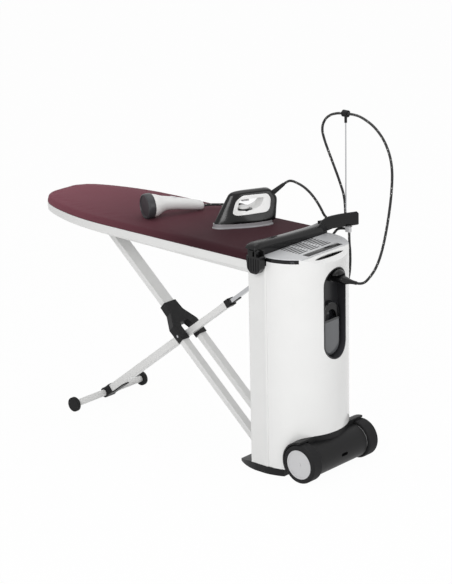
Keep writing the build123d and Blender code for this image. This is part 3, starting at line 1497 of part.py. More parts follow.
# Hand steamer: a round head and a tapering body, lying on the cover
steamer_turn = math.radians(68)
steamer_plane = Plane(origin=(-635, -100, cover_top + tool_gap),
                      x_dir=(math.cos(steamer_turn), math.sin(steamer_turn), 0), z_dir=(0, 0, 1))
head_radius = 47.5
head_back = -28
head_front = 8
head_round = 5
face_radius = 40
face_depth = 1.5
face_holes = 8
face_hole_radius = 2
face_hole_ring = 26
body_circles = ((0, 44.5, 47.5), (35, 38, 46.5), (70, 25, 48), (120, 21, 39.5), (170, 18.5, 28.5),
                (212, 15, 18.5))
steamer_tip = 217
steamer_tip_radius = 9
steamer_button_s = 95
steamer_button_length = 26
steamer_button_width = 14
steamer_button_depth = 6
steamer_button_proud = 3
steamer_travel = 2.5
with BuildPart() as steamer_body:
    for along, radius, lift in body_circles:
        with BuildSketch(tool_section(steamer_plane, along, lift)):
            Circle(radius)
    loft()
    with BuildSketch(tool_section(steamer_plane, body_circles[-1][0], body_circles[-1][2])):
        Circle(body_circles[-1][1])
    with BuildSketch(tool_section(steamer_plane, steamer_tip, body_circles[-1][2])):
        Circle(steamer_tip_radius)
    loft()
    button_low, button_high = body_circles[2], body_circles[3]
    button_share = (steamer_button_s - button_low[0]) / (button_high[0] - button_low[0])
    button_top_low = button_low[1] + button_low[2]
    button_top_high = button_high[1] + button_high[2]
    button_top = button_top_low + button_share * (button_top_high - button_top_low)
    button_fall = (button_top_low - button_top_high) / (button_high[0] - button_low[0])
    button_way = (steamer_plane.z_dir + steamer_plane.x_dir * button_fall).normalized()
    button_root = steamer_plane.from_local_coords((steamer_button_s, 0, button_top))
    button_along = (steamer_plane.x_dir - steamer_plane.z_dir * button_fall).normalized()
    steamer_button_plane = Plane(origin=button_root, x_dir=button_along, z_dir=button_way)
    with BuildSketch(steamer_button_plane.offset(steamer_button_proud)):
        SlotOverall(steamer_button_length + 2 * slip_gap, steamer_button_width + 2 * slip_gap)
    extrude(amount=-steamer_button_proud - steamer_button_depth - steamer_travel - slip_gap,
            mode=Mode.SUBTRACT)
keep(steamer_body.part, "steamer_body")

with BuildPart() as steamer_trigger:
    with BuildSketch(steamer_button_plane.offset(-steamer_button_depth)):
        SlotOverall(steamer_button_length, steamer_button_width)
    extrude(amount=steamer_button_depth + steamer_button_proud)
keep(steamer_trigger.part, "steamer_trigger")

with BuildPart() as steamer_head:
    with BuildSketch(tool_section(steamer_plane, head_back, head_radius)):
        Circle(head_radius)
    extrude(amount=head_front - head_back)
    fillet(steamer_head.edges().filter_by(GeomType.CIRCLE), radius=head_round)
    with BuildSketch(tool_section(steamer_plane, head_back, head_radius)):
        Circle(face_radius)
    extrude(amount=face_depth, mode=Mode.SUBTRACT)
    with BuildSketch(tool_section(steamer_plane, head_back, head_radius)):
        with PolarLocations(face_hole_ring, face_holes):
            Circle(face_hole_radius)
    extrude(amount=3 * face_depth, mode=Mode.SUBTRACT)
    with BuildSketch(tool_section(steamer_plane, 0, head_radius)):
        Circle(body_circles[0][1])
    extrude(amount=2 * head_front, mode=Mode.SUBTRACT)
    add(steamer_body.part, mode=Mode.SUBTRACT)
keep(steamer_head.part, "steamer_head")

# Hoses: each is one smooth run, with its bends as large as its straight runs allow
bend_share = 0.45
steamer_hose_start = steamer_plane.from_local_coords((steamer_tip, 0, body_circles[-1][2]))
clamp_angle = math.radians(clamp_turn)
clamp_way = Vector(math.sin(clamp_angle), -math.cos(clamp_angle), 0)
iron_hose_rise = 20
iron_hose_z = tray_low + iron_hose_rise
iron_hose_start = Vector(clamp_x, clamp_y, iron_hose_z) + clamp_way * clamp_length / 2
exit_run = 19
clamp_run = 26
steam_route = ((plug_end_x, 0, socket_z), (284, 0, 724), (306, 14, 752), (322, 32, 790), (329, 55, 850),
               (330, 82, 940), (326, 108, 1040), (308, 134, 1128), (259, 160, 1193), (191, 185, 1234),
               (114, 216, 1248), (52, 247, 1246), (-36, 250, 1240), (-85, 251, 1216), (-108, 253, 1172),
               (-94, 256, 1122), (-63, 260, 1053), (-32, 264, 982), (-9, 266, 920),
               (clamp_x, clamp_y, clamp_top))
iron_route = (iron_hose_start, iron_hose_start + clamp_way * clamp_run, (-37, 204, 853), (-47, 191, 872),
              (-60, 188, 898),
              (-84, 186, 928), (-113, 187, 950), (-147, 191, 964), (-183, 199, 968), (-207, 208, 968),
              iron_hose_end + relief_way * exit_run, iron_hose_end)
steamer_route = (steamer_hose_start, steamer_hose_start + steamer_plane.x_dir * clamp_run, (-521, 158, 835),
                 (-490, 187, 836),
                 (-455, 208, 837), (-425, 224, 820), (-402, 233, 786), (-372, 238, 745), (-322, 239, 707),
                 (-258, 240, 685), (-190, 240, 679), (-137, 241, 688), (-98, 242, 713), (-68, 245, 755),
                 (-47, 249, 793), (-30, elbow_y, 813), (elbow_x - elbow_length / 2, elbow_y, 813))
riser_x = 20
riser_route = ((gland_x, gland_start + gland_length, gland_z), (20, 222, 610), (20, 240, 620),
               (21, 251, 642), (24, 253, 682), (24, 253, 734), (riser_x, elbow_y, 769),
               (riser_x, elbow_y, elbow_low))


def bend_radii(points):
    # One radius for each corner of a route, from its shorter run and its turn
    radii = []
    for before, corner, after in zip(points, points[1:], points[2:]):
        arriving = Vector(corner) - Vector(before)
        leaving = Vector(after) - Vector(corner)
        turn = math.radians(arriving.get_angle(leaving))
        shorter = min(arriving.length, leaving.length)
        radii.append(bend_share * shorter / math.tan(turn / 2))
    return radii


def report_hose(name, points, length, volume):
    print(name, "length", round(length), "mm, radii", [round(r) for r in bend_radii(points)],
          "volume share", round(volume / (length * math.pi * hose_radius ** 2), 3))


with BuildPart() as steam_hose:
    with BuildLine():
        steam_run = FilletPolyline(*steam_route, radius=bend_radii(steam_route))
    with BuildSketch(Plane(origin=steam_run @ 0, z_dir=steam_run % 0)):
        Circle(hose_radius)
    sweep()
report_hose("steam_hose", steam_route, steam_run.length, steam_hose.part.volume)
keep(steam_hose.part, "steam_hose")

with BuildPart() as iron_hose:
    with BuildLine():
        iron_run = FilletPolyline(*iron_route, radius=bend_radii(iron_route))
    with BuildSketch(Plane(origin=iron_run @ 0, z_dir=iron_run % 0)):
        Circle(hose_radius)
    sweep()
report_hose("iron_hose", iron_route, iron_run.length, iron_hose.part.volume)
keep(iron_hose.part, "iron_hose")

with BuildPart() as steamer_hose:
    with BuildLine():
        steamer_run = FilletPolyline(*steamer_route, radius=bend_radii(steamer_route))
    with BuildSketch(Plane(origin=steamer_run @ 0, z_dir=steamer_run % 0)):
        Circle(hose_radius)
    sweep()
report_hose("steamer_hose", steamer_route, steamer_run.length, steamer_hose.part.volume)
keep(steamer_hose.part, "steamer_hose")

with BuildPart() as steamer_riser:
    with BuildLine():
        riser_run = FilletPolyline(*riser_route, radius=bend_radii(riser_route))
    with BuildSketch(Plane(origin=riser_run @ 0, z_dir=riser_run % 0)):
        Circle(hose_radius)
    sweep()
report_hose("steamer_riser", riser_route, riser_run.length, steamer_riser.part.volume)
keep(steamer_riser.part, "steamer_riser")
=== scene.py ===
import math
import bpy
from mathutils import Matrix, Vector


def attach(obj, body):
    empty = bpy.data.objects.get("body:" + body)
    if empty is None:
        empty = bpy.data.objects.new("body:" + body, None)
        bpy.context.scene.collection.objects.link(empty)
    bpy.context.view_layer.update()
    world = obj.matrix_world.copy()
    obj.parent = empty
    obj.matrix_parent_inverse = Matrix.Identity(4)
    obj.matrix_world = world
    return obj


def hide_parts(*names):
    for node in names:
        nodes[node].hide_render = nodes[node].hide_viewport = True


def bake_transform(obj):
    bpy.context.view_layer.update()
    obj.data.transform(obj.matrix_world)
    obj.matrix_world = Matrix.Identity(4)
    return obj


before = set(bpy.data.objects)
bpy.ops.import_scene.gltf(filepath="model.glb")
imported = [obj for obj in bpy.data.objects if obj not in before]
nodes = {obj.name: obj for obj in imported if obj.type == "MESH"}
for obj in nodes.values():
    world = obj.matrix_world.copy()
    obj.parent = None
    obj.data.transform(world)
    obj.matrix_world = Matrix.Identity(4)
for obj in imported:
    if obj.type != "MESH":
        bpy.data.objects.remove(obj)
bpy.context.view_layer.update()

mm = 0.001
smoothAngle = math.radians(38)  # faces that meet flatter than this are shaded as one


def pick(piece):
    bpy.ops.object.select_all(action="DESELECT")
    piece.select_set(True)
    bpy.context.view_layer.objects.active = piece


def hexColor(text):
    # sRGB hex to the linear colour that shaders take
    parts = [int(text[i:i + 2], 16) / 255 for i in (1, 3, 5)]
    linear = [p / 12.92 if p <= 0.04045 else ((p + 0.055) / 1.055) ** 2.4 for p in parts]
    return (*linear, 1.0)


def addNode(tree, kind, settings=None, links=None):
    # One node with its settings (socket names or properties) and its incoming links
    node = tree.nodes.new(kind)
    for key, value in (settings or {}).items():
        if isinstance(key, int) or key in node.inputs:
            node.inputs[key].default_value = value
        else:
            setattr(node, key, value)
    for key, source in (links or {}).items():
        tree.links.new(source, node.inputs[key])
    return node


def newMaterial(name, shader):
    material = bpy.data.materials.new(name)
    material.use_nodes = True
    tree = material.node_tree
    principled = tree.nodes["Principled BSDF"]
    for key, value in shader.items():
        principled.inputs[key].default_value = value
    return material, tree, principled


def moulded(name, look):
    # A moulded or painted surface: a faint drift of tone, and a grain of a real size
    material, tree, principled = newMaterial(name, {
        "Roughness": look["roughness"], "Metallic": look.get("metallic", 0.0),
        "Specular IOR Level": look.get("specular", 0.5),
        "Coat Weight": look.get("coat", 0.0), "Coat Roughness": look.get("coatRoughness", 0.1)})
    coords = addNode(tree, "ShaderNodeTexCoord")
    drift = addNode(tree, "ShaderNodeTexNoise", {"Scale": 1 / (look["driftMm"] * mm), "Detail": 2.0},
                    {"Vector": coords.outputs["Object"]})
    tone = addNode(tree, "ShaderNodeMix", {"data_type": "RGBA", 6: hexColor(look["color"]),
                                           7: hexColor(look["shade"])}, {0: drift.outputs["Fac"]})
    tree.links.new(tone.outputs[2], principled.inputs["Base Color"])
    grain = addNode(tree, "ShaderNodeTexNoise", {"Scale": 1 / (look["grainMm"] * mm), "Detail": 3.0},
                    {"Vector": coords.outputs["Object"]})
    bump = addNode(tree, "ShaderNodeBump", {"Strength": look["bump"], "Distance": look["depthMm"] * mm},
                   {"Height": grain.outputs["Fac"]})
    tree.links.new(bump.outputs["Normal"], principled.inputs["Normal"])
    rough = addNode(tree, "ShaderNodeMapRange", {"To Min": look["roughness"] - look["wear"],
                                                 "To Max": look["roughness"] + look["wear"]},
                    {"Value": drift.outputs["Fac"]})
    tree.links.new(rough.outputs["Result"], principled.inputs["Roughness"])
    return material


def brushed(name, look):
    # Metal with fine lines along one axis, from a grinding belt
    material, tree, principled = newMaterial(name, {"Metallic": 1.0, "Roughness": look["roughness"]})
    coords = addNode(tree, "ShaderNodeTexCoord")
    stretch = addNode(tree, "ShaderNodeMapping", {"Scale": look["lines"]}, {"Vector": coords.outputs["Object"]})
    lines = addNode(tree, "ShaderNodeTexNoise", {"Scale": 1.0, "Detail": 4.0}, {"Vector": stretch.outputs["Vector"]})
    tone = addNode(tree, "ShaderNodeMix", {"data_type": "RGBA", 6: hexColor(look["color"]),
                                           7: hexColor(look["shade"])}, {0: lines.outputs["Fac"]})
    tree.links.new(tone.outputs[2], principled.inputs["Base Color"])
    rough = addNode(tree, "ShaderNodeMapRange", {"To Min": look["roughness"] - look["wear"],
                                                 "To Max": look["roughness"] + look["wear"]},
                    {"Value": lines.outputs["Fac"]})
    tree.links.new(rough.outputs["Result"], principled.inputs["Roughness"])
    bump = addNode(tree, "ShaderNodeBump", {"Strength": 0.15, "Distance": 0.02 * mm},
                   {"Height": lines.outputs["Fac"]})
    tree.links.new(bump.outputs["Normal"], principled.inputs["Normal"])
    return material


# Polyester powder coat on steel and aluminium: satin white with a faint orange peel
powderWhite = moulded("white powder coat", dict(color="#E9E9E8", shade="#E2E2E1", roughness=0.34, wear=0.04,
                      driftMm=90, grainMm=1.6, bump=0.04, depthMm=0.04, coat=0.2))
# Gloss ABS, injection moulded: clean reflections with a slight waviness
glossWhite = moulded("white gloss abs", dict(color="#EFEFEE", shade="#E9E9E8", roughness=0.2, wear=0.03,
                     driftMm=120, grainMm=14, bump=0.05, depthMm=0.06, coat=0.4))
# Black ABS with a spark-eroded grain: dull, with a soft edge to each highlight
grainBlack = moulded("black grained abs", dict(color="#131314", shade="#19191A", roughness=0.46, wear=0.06,
                     driftMm=40, grainMm=0.5, bump=0.35, depthMm=0.04, specular=0.22))
# Polished black ABS: sharp highlights
glossBlack = moulded("black gloss abs", dict(color="#0B0B0C", shade="#101011", roughness=0.2, wear=0.04,
                     driftMm=60, grainMm=9, bump=0.04, depthMm=0.04, specular=0.3))
# Smoked acrylic over the control strip: dark and even
windowGloss = moulded("smoked acrylic window", dict(color="#161618", shade="#1C1C1E", roughness=0.16, wear=0.03,
                      driftMm=60, grainMm=12, bump=0.03, depthMm=0.03, specular=0.2))
# Dark grey ABS of the power button and the steamer's head: satin
satinGrey = moulded("grey satin abs", dict(color="#343437", shade="#3D3D40", roughness=0.34, wear=0.05,
                    driftMm=50, grainMm=0.8, bump=0.1, depthMm=0.03, specular=0.35))
# Pearl grey lacquer on the wheel discs and small buttons
pearlGrey = moulded("pearl grey lacquer", dict(color="#CFCFD0", shade="#C5C5C7", roughness=0.34, wear=0.04,
                    driftMm=30, grainMm=1.0, bump=0.08, depthMm=0.03, metallic=0.15, coat=0.2))
# Thermoplastic rubber of tyres and feet: very dull
tyreRubber = moulded("black tyre rubber", dict(color="#161617", shade="#1D1D1E", roughness=0.72, wear=0.08,
                     driftMm=20, grainMm=0.9, bump=0.3, depthMm=0.06, specular=0.25))
# Zinc-plated sheet: a cold grey with a fine flow
zincSheet = brushed("zinc plated sheet", dict(color="#9FA1A3", shade="#8B8D8F", roughness=0.42, wear=0.08,
                    lines=(160.0, 160.0, 160.0)))
# Silver lacquer on the deck's plate: pale, with a soft metallic sheen
silverDeck = moulded("silver lacquered plate", dict(color="#D2D3D5", shade="#C9CACC", roughness=0.38, wear=0.06,
                     driftMm=70, grainMm=0.7, bump=0.06, depthMm=0.02, metallic=0.25))
# Aluminium of the iron's sole, cast, ground and anodised: a soft satin
satinSole = moulded("satin anodised aluminium", dict(color="#CBCCCE", shade="#BFC0C2", roughness=0.36, wear=0.08,
                    driftMm=30, grainMm=0.6, bump=0.08, depthMm=0.02, metallic=0.75))
# Polished stainless steel of mast, tubes, shafts and pins: bright, with fine lines along its length
polishedSteel = brushed("polished stainless steel", dict(color="#C4C5C7", shade="#B2B3B5", roughness=0.2,
                        wear=0.05, lines=(500.0, 500.0, 60.0)))


def smokyTank():
    # Smoked SAN, injection moulded: dark and clear, with sharp highlights
    material, tree, principled = newMaterial("smoked clear san", {
        "Roughness": 0.06, "IOR": 1.57, "Transmission Weight": 0.25})
    coords = addNode(tree, "ShaderNodeTexCoord")
    # The water stands to 560 mm and shows paler than the empty tank above it
    position = addNode(tree, "ShaderNodeSeparateXYZ", None, {"Vector": coords.outputs["Object"]})
    level = addNode(tree, "ShaderNodeMapRange", {"From Min": 0.564, "From Max": 0.560},
                    {"Value": position.outputs["Z"]})
    tone = addNode(tree, "ShaderNodeMix", {"data_type": "RGBA", 6: hexColor("#2C2D30"), 7: hexColor("#6C6E71")},
                   {0: level.outputs["Result"]})
    tree.links.new(tone.outputs[2], principled.inputs["Base Color"])
    flow = addNode(tree, "ShaderNodeTexNoise", {"Scale": 30.0}, {"Vector": coords.outputs["Object"]})
    bump = addNode(tree, "ShaderNodeBump", {"Strength": 0.05, "Distance": 0.1 * mm}, {"Height": flow.outputs["Fac"]})
    tree.links.new(bump.outputs["Normal"], principled.inputs["Normal"])
    return material


def braidedSleeve():
    # Polyester braid over the hose: dull black, with flecks of a pale tracer thread about 9 mm apart
    material, tree, principled = newMaterial("black polyester braid", {"Roughness": 0.75, "Sheen Weight": 0.2})
    coords = addNode(tree, "ShaderNodeTexCoord")
    cells = addNode(tree, "ShaderNodeTexVoronoi", {"Scale": 1 / (9 * mm), "Randomness": 0.6},
                    {"Vector": coords.outputs["Object"]})
    fleck = addNode(tree, "ShaderNodeMath", {"operation": "LESS_THAN", 1: 0.2}, {0: cells.outputs["Distance"]})
    tone = addNode(tree, "ShaderNodeMix", {"data_type": "RGBA", 6: hexColor("#121213"), 7: hexColor("#C9C9C6")},
                   {0: fleck.outputs["Value"]})
    tree.links.new(tone.outputs[2], principled.inputs["Base Color"])
    threads = addNode(tree, "ShaderNodeTexVoronoi", {"Scale": 1 / (1.4 * mm)}, {"Vector": coords.outputs["Object"]})
    bump = addNode(tree, "ShaderNodeBump", {"Strength": 0.5, "Distance": 0.3 * mm},
                   {"Height": threads.outputs["Distance"]})
    tree.links.new(bump.outputs["Normal"], principled.inputs["Normal"])
    return material


def coverCloth():
    # Cotton cover with a metallised finish: a fine plain weave and a faint sheen, with painted shade that darkens it
    # towards the station and painted light that brightens it towards the nose.
    # The real threads are finer than the render shows, so they are drawn 1.6 mm apart
    material, tree, principled = newMaterial("burgundy coated cotton", {
        "Roughness": 0.7, "Sheen Weight": 0.06, "Sheen Roughness": 0.4, "Sheen Tint": hexColor("#C79AA2"),
        "Specular IOR Level": 0.1})
    coords = addNode(tree, "ShaderNodeTexCoord")
    position = addNode(tree, "ShaderNodeSeparateXYZ", None, {"Vector": coords.outputs["Object"]})
    # Painted shade and light: the cloth runs from dark at the station end to pale at the nose
    reach = addNode(tree, "ShaderNodeMapRange", {"From Min": -0.33, "From Max": -1.15},
                    {"Value": position.outputs["X"]})
    tone = addNode(tree, "ShaderNodeMix", {"data_type": "RGBA", 6: hexColor("#3B2026"), 7: hexColor("#86505B")},
                   {0: reach.outputs["Result"]})
    drift = addNode(tree, "ShaderNodeTexNoise", {"Scale": 9.0, "Detail": 4.0}, {"Vector": coords.outputs["Object"]})
    mottle = addNode(tree, "ShaderNodeMix", {"data_type": "RGBA", "blend_type": "MULTIPLY", 0: 0.12},
                     {6: tone.outputs[2], 7: drift.outputs["Fac"]})
    weave = addNode(tree, "ShaderNodeTexChecker", {"Scale": 1 / (1.6 * mm)}, {"Vector": coords.outputs["Object"]})
    thread = addNode(tree, "ShaderNodeMix", {"data_type": "RGBA", "blend_type": "MULTIPLY", 0: 0.1},
                     {6: mottle.outputs[2], 7: weave.outputs["Color"]})
    tree.links.new(thread.outputs[2], principled.inputs["Base Color"])
    height = addNode(tree, "ShaderNodeTexNoise", {"Scale": 1 / (2.0 * mm), "Detail": 2.0},
                     {"Vector": coords.outputs["Object"]})
    bump = addNode(tree, "ShaderNodeBump", {"Strength": 0.35, "Distance": 0.25 * mm},
                   {"Height": height.outputs["Fac"]})
    tree.links.new(bump.outputs["Normal"], principled.inputs["Normal"])
    return material


def paintedShadeRecess():
    # Dark grey ABS of the recess: satin, with painted shade that darkens it towards its top, so it is paler towards
    # its foot
    material, tree, principled = newMaterial("grey recess abs", {"Roughness": 0.32, "Specular IOR Level": 0.4})
    coords = addNode(tree, "ShaderNodeTexCoord")
    position = addNode(tree, "ShaderNodeSeparateXYZ", None, {"Vector": coords.outputs["Object"]})
    # Painted shade: darker towards the recess's top, paler towards its foot
    fall = addNode(tree, "ShaderNodeMapRange", {"From Min": 0.74, "From Max": 0.44},
                   {"Value": position.outputs["Z"]})
    tone = addNode(tree, "ShaderNodeMix", {"data_type": "RGBA", 6: hexColor("#1F1F21"), 7: hexColor("#343437")},
                   {0: fall.outputs["Result"]})
    tree.links.new(tone.outputs[2], principled.inputs["Base Color"])
    grain = addNode(tree, "ShaderNodeTexNoise", {"Scale": 1 / (0.8 * mm)}, {"Vector": coords.outputs["Object"]})
    bump = addNode(tree, "ShaderNodeBump", {"Strength": 0.1, "Distance": 0.03 * mm}, {"Height": grain.outputs["Fac"]})
    tree.links.new(bump.outputs["Normal"], principled.inputs["Normal"])
    return material


recessGrey = paintedShadeRecess()
smokedClear = smokyTank()
blackBraid = braidedSleeve()
burgundyCloth = coverCloth()

finishes = {
    powderWhite: ("rear_columns", "board_pan", "leg_a_upper", "leg_a_rails", "leg_b_lower", "leg_b_middle",
                  "foot_tube"),
    glossWhite: ("housing_shell",),
    grainBlack: ("base_plate", "column_caps", "pump", "wheel_housing", "hose_gland", "hose_tray", "fan_grille",
                 "fan_rotor", "leg_fork", "top_rollers", "leg_b_collar", "foot_bracket", "iron_hose_relief",
                 "mast_clip"),
    glossBlack: ("side_trim", "socket_hood", "hose_plug", "tank_grip", "height_lever"),
    satinGrey: ("power_button",),
    recessGrey: ("recess_panel",),
    pearlGrey: ("hub_near", "hub_far", "iron_trigger", "steamer_trigger"),
    tyreRubber: ("tyre_near", "tyre_far", "foot_caps"),
    zincSheet: ("ironing_panel", "leg_bracket", "boiler"),
    polishedSteel: ("wheel_axle", "leg_base_shaft", "hose_mast", "lift_tubes", "leg_b_inner", "leg_pins"),
    satinSole: ("iron_soleplate",),
    smokedClear: ("water_tank",),
}
for finish, names in finishes.items():
    for name in names:
        nodes[name].data.materials.clear()
        nodes[name].data.materials.append(finish)
print("materials set on", sum(len(names) for names in finishes.values()), "nodes")

# Camera at the photograph's viewing angle
camera = dict(place=(4.9182, -5.7829, 3.1292), azimuth=42.37, elevation=18.13, roll=1.19, lens=138.55)


def addCamera():
    azimuth, elevation, roll = (math.radians(camera[key]) for key in ("azimuth", "elevation", "roll"))
    back = Vector((math.sin(azimuth) * math.cos(elevation), -math.cos(azimuth) * math.cos(elevation),
                   math.sin(elevation)))
    right = Vector((math.cos(azimuth), math.sin(azimuth), 0))
    up = back.cross(right)
    turnedRight = right * math.cos(roll) - up * math.sin(roll)
    turnedUp = right * math.sin(roll) + up * math.cos(roll)
    data = bpy.data.cameras.new("studioCamera")
    data.lens = camera["lens"]
    data.clip_end = 50
    eye = bpy.data.objects.new("studioCamera", data)
    bpy.context.scene.collection.objects.link(eye)
    eye.matrix_world = Matrix((turnedRight, turnedUp, back)).transposed().to_4x4()
    eye.location = camera["place"]
    bpy.context.scene.camera = eye


addCamera()

# Hoses, in metres: each lists the bodies at its two ends and where it leaves the first and reaches the second
hoseDiameter = 9.4 * mm
hoses = {
    "steamHose": dict(replaces="steam_hose", bodies=("station", "board"), start=(0.29, 0, 0.8),
                      finish=(0.05, 0.24, 0.8), length=1.30, points=(
        (0.256, 0, 0.724), (0.284, 0, 0.724), (0.306, 0.014, 0.752), (0.322, 0.032, 0.790),
        (0.329, 0.055, 0.850), (0.330, 0.082, 0.940), (0.326, 0.108, 1.040), (0.308, 0.134, 1.128),
        (0.259, 0.160, 1.193), (0.191, 0.185, 1.234), (0.114, 0.216, 1.248), (0.052, 0.247, 1.246),
        (-0.036, 0.250, 1.240), (-0.085, 0.251, 1.216), (-0.108, 0.253, 1.172), (-0.094, 0.256, 1.122),
        (-0.063, 0.260, 1.053), (-0.032, 0.264, 0.982), (-0.009, 0.266, 0.920), (-0.009, 0.266, 0.858))),
    "ironHose": dict(replaces="iron_hose", bodies=("board", "iron"), start=(-0.02, 0.25, 0.85),
                     finish=(-0.20, 0.20, 0.96), length=0.316, points=(
        (-0.0145, 0.2531, 0.848), (-0.0246, 0.2292, 0.848), (-0.037, 0.204, 0.853), (-0.047, 0.191, 0.872),
        (-0.060, 0.188, 0.898), (-0.084, 0.186, 0.928), (-0.113, 0.187, 0.950), (-0.147, 0.191, 0.964),
        (-0.183, 0.199, 0.968), (-0.207, 0.208, 0.968), (-0.2242, 0.2016, 0.9674), (-0.2315, 0.1872, 0.9573))),
    "steamerHose": dict(replaces="steamer_hose", bodies=("board", "steamer"), start=(-0.08, 0.25, 0.8),
                        finish=(-0.50, 0.18, 0.83), length=0.730, points=(
        (-0.5537, 0.1012, 0.8388), (-0.5440, 0.1253, 0.8388), (-0.521, 0.158, 0.835), (-0.490, 0.187, 0.836),
        (-0.455, 0.208, 0.837), (-0.425, 0.224, 0.820), (-0.402, 0.233, 0.786), (-0.372, 0.238, 0.745),
        (-0.322, 0.239, 0.707), (-0.258, 0.240, 0.685), (-0.190, 0.240, 0.679), (-0.137, 0.241, 0.688),
        (-0.098, 0.242, 0.713), (-0.068, 0.245, 0.755), (-0.047, 0.249, 0.793), (-0.028, 0.252, 0.814),
        (0.007, 0.252, 0.816))),
    "steamerRiser": dict(replaces="steamer_riser", bodies=("station", "board"), start=(0.02, 0.23, 0.62),
                         finish=(0.02, 0.25, 0.79), length=0.222, points=(
        (0.020, 0.2057, 0.610), (0.020, 0.222, 0.610), (0.020, 0.240, 0.620), (0.021, 0.251, 0.642),
        (0.024, 0.253, 0.682), (0.024, 0.253, 0.734), (0.020, 0.252, 0.769), (0.020, 0.252, 0.804))),
}


def layHose(name, hose):
    data = bpy.data.curves.new(name, "CURVE")
    data.dimensions = "3D"
    data.bevel_resolution = 5
    data.resolution_u = 8
    spline = data.splines.new("NURBS")
    spline.points.add(len(hose["points"]) - 1)
    for point, place in zip(spline.points, hose["points"]):
        point.co = (*place, 1)
    spline.order_u = 3
    spline.use_endpoint_u = True
    data.materials.append(blackBraid)
    piece = bpy.data.objects.new(name, data)
    bpy.context.scene.collection.objects.link(piece)
    path = [tuple(vertex.co) for vertex in piece.to_mesh().vertices]  # the bare line, before it gets its thickness
    piece.to_mesh_clear()
    data.bevel_depth = hoseDiameter / 2
    data.use_fill_caps = True
    pick(piece)
    bpy.ops.object.convert(target="MESH")
    bpy.ops.object.shade_smooth()
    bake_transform(piece)
    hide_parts(hose["replaces"])


for name, hose in hoses.items():
    layHose(name, hose)
print("hoses laid")

# Padded cover: cut like the solid, then swollen by a short cloth run, held to its panel and beside the rail
cover = dict(voxel=7 * mm, pinned=9 * mm, railEdge=-90 * mm, pressure=4.0, frames=20, cap=3.0 * mm)


def sewCover():
    piece = bpy.data.objects.new("paddedCover", nodes["board_cover"].data.copy())
    bpy.context.scene.collection.objects.link(piece)
    pick(piece)
    piece.data.remesh_voxel_size = cover["voxel"]
    bpy.ops.object.voxel_remesh()
    return piece


def swellCover(piece):
    # The underside and the end at the rail stay put, the rest may swell by up to the cap
    places = [v.co.copy() for v in piece.data.vertices]
    low = min(p.z for p in places)
    held = piece.vertex_groups.new(name="onPanel")
    held.add([i for i, p in enumerate(places) if p.z < low + cover["pinned"] or p.x > cover["railEdge"]],
             1.0, "REPLACE")
    pad = piece.modifiers.new("pad", "CLOTH")
    pad.settings.use_pressure = True
    pad.settings.uniform_pressure_force = cover["pressure"]
    pad.settings.vertex_group_mass = held.name
    pad.settings.effector_weights.gravity = 0
    for step in range(1, cover["frames"] + 1):
        bpy.context.scene.frame_set(step)
    bpy.ops.object.modifier_apply(modifier=pad.name)
    bpy.context.scene.frame_set(1)
    for vertex, place in zip(piece.data.vertices, places):
        moved = vertex.co - place
        if moved.length > cover["cap"]:
            moved *= cover["cap"] / moved.length
        vertex.co = place + moved
    piece.vertex_groups.clear()


paddedCover = sewCover()
swellCover(paddedCover)
finer = paddedCover.modifiers.new("finer", "SUBSURF")
finer.levels = 1
finer.render_levels = 1
paddedCover.data.materials.clear()
paddedCover.data.materials.append(burgundyCloth)
bpy.ops.object.shade_smooth()
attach(paddedCover, "board")
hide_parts("board_cover")
print("cover sewn")

# Mesh helpers: rings of equal length are joined into one closed skin
def skinPiece(name, rings, finish):
    count = len(rings[0])
    last = (len(rings) - 1) * count
    faces = [tuple(range(count)), tuple(range(last, last + count))]
    for row in range(0, last, count):
        for k in range(count):
            step = (k + 1) % count
            faces.append((row + k, row + step, row + count + step, row + count + k))
    data = bpy.data.meshes.new(name)
    data.from_pydata([place for ring in rings for place in ring], [], faces)
    data.materials.append(finish)
    piece = bpy.data.objects.new(name, data)
    bpy.context.scene.collection.objects.link(piece)
    pick(piece)
    bpy.ops.object.mode_set(mode="EDIT")
    bpy.ops.mesh.select_all(action="SELECT")
    bpy.ops.mesh.normals_make_consistent(inside=False)
    bpy.ops.object.mode_set(mode="OBJECT")
    return piece


def combine(piece, tool, operation):
    trim = piece.modifiers.new("trim", "BOOLEAN")
    trim.operation = operation
    trim.solver = "EXACT"
    trim.object = tool
    pick(piece)
    bpy.ops.object.modifier_apply(modifier="trim")


def drop(*tools):
    for tool in tools:
        bpy.data.objects.remove(tool)


def soften(piece, width, segments=2):
    edges = piece.modifiers.new("edges", "BEVEL")
    edges.width = width
    edges.segments = segments
    edges.limit_method = "ANGLE"
    edges.angle_limit = math.radians(32)  # only the edges that turn sharper than this
    pick(piece)
    bpy.ops.object.modifier_apply(modifier="edges")
    bpy.ops.object.shade_smooth_by_angle(angle=smoothAngle)


def eased(table, at, column):
    # A smooth value between the rows of a table, whose first column rises
    k = max(i for i in range(len(table) - 1) if i == 0 or table[i][0] <= at)
    low, high = table[k], table[k + 1]
    span = high[0] - low[0]
    share = (at - low[0]) / span

    def slope(i):
        before, after = table[max(i - 1, 0)], table[min(i + 1, len(table) - 1)]
        return (after[column] - before[column]) / (after[0] - before[0])

    fall = high[column] - low[column]
    turn = slope(k) * span
    close = slope(k + 1) * span
    return (low[column] + share * turn + share ** 2 * (3 * fall - 2 * turn - close)
            + share ** 3 * (turn + close - 2 * fall))


def roundedLoop(corners, radius, steps=6):
    # A closed outline whose corners are rounded by short curves
    loop = []
    for k, corner in enumerate(corners):
        here = Vector(corner)
        before, after = Vector(corners[k - 1]) - here, Vector(corners[(k + 1) % len(corners)]) - here
        start = here + before.normalized() * min(radius, 0.45 * before.length)
        stop = here + after.normalized() * min(radius, 0.45 * after.length)
        for step in range(steps + 1):
            t = step / steps
            loop.append(tuple(start * (1 - t) ** 2 + here * 2 * t * (1 - t) + stop * t ** 2))
    return loop


def boxPiece(name, corners, finish):
    (x0, y0, z0), (x1, y1, z1) = corners
    ring = [(x0, y0), (x1, y0), (x1, y1), (x0, y1)]
    return skinPiece(name, [[(x * mm, y * mm, z * mm) for x, y in ring] for z in (z0, z1)], finish)


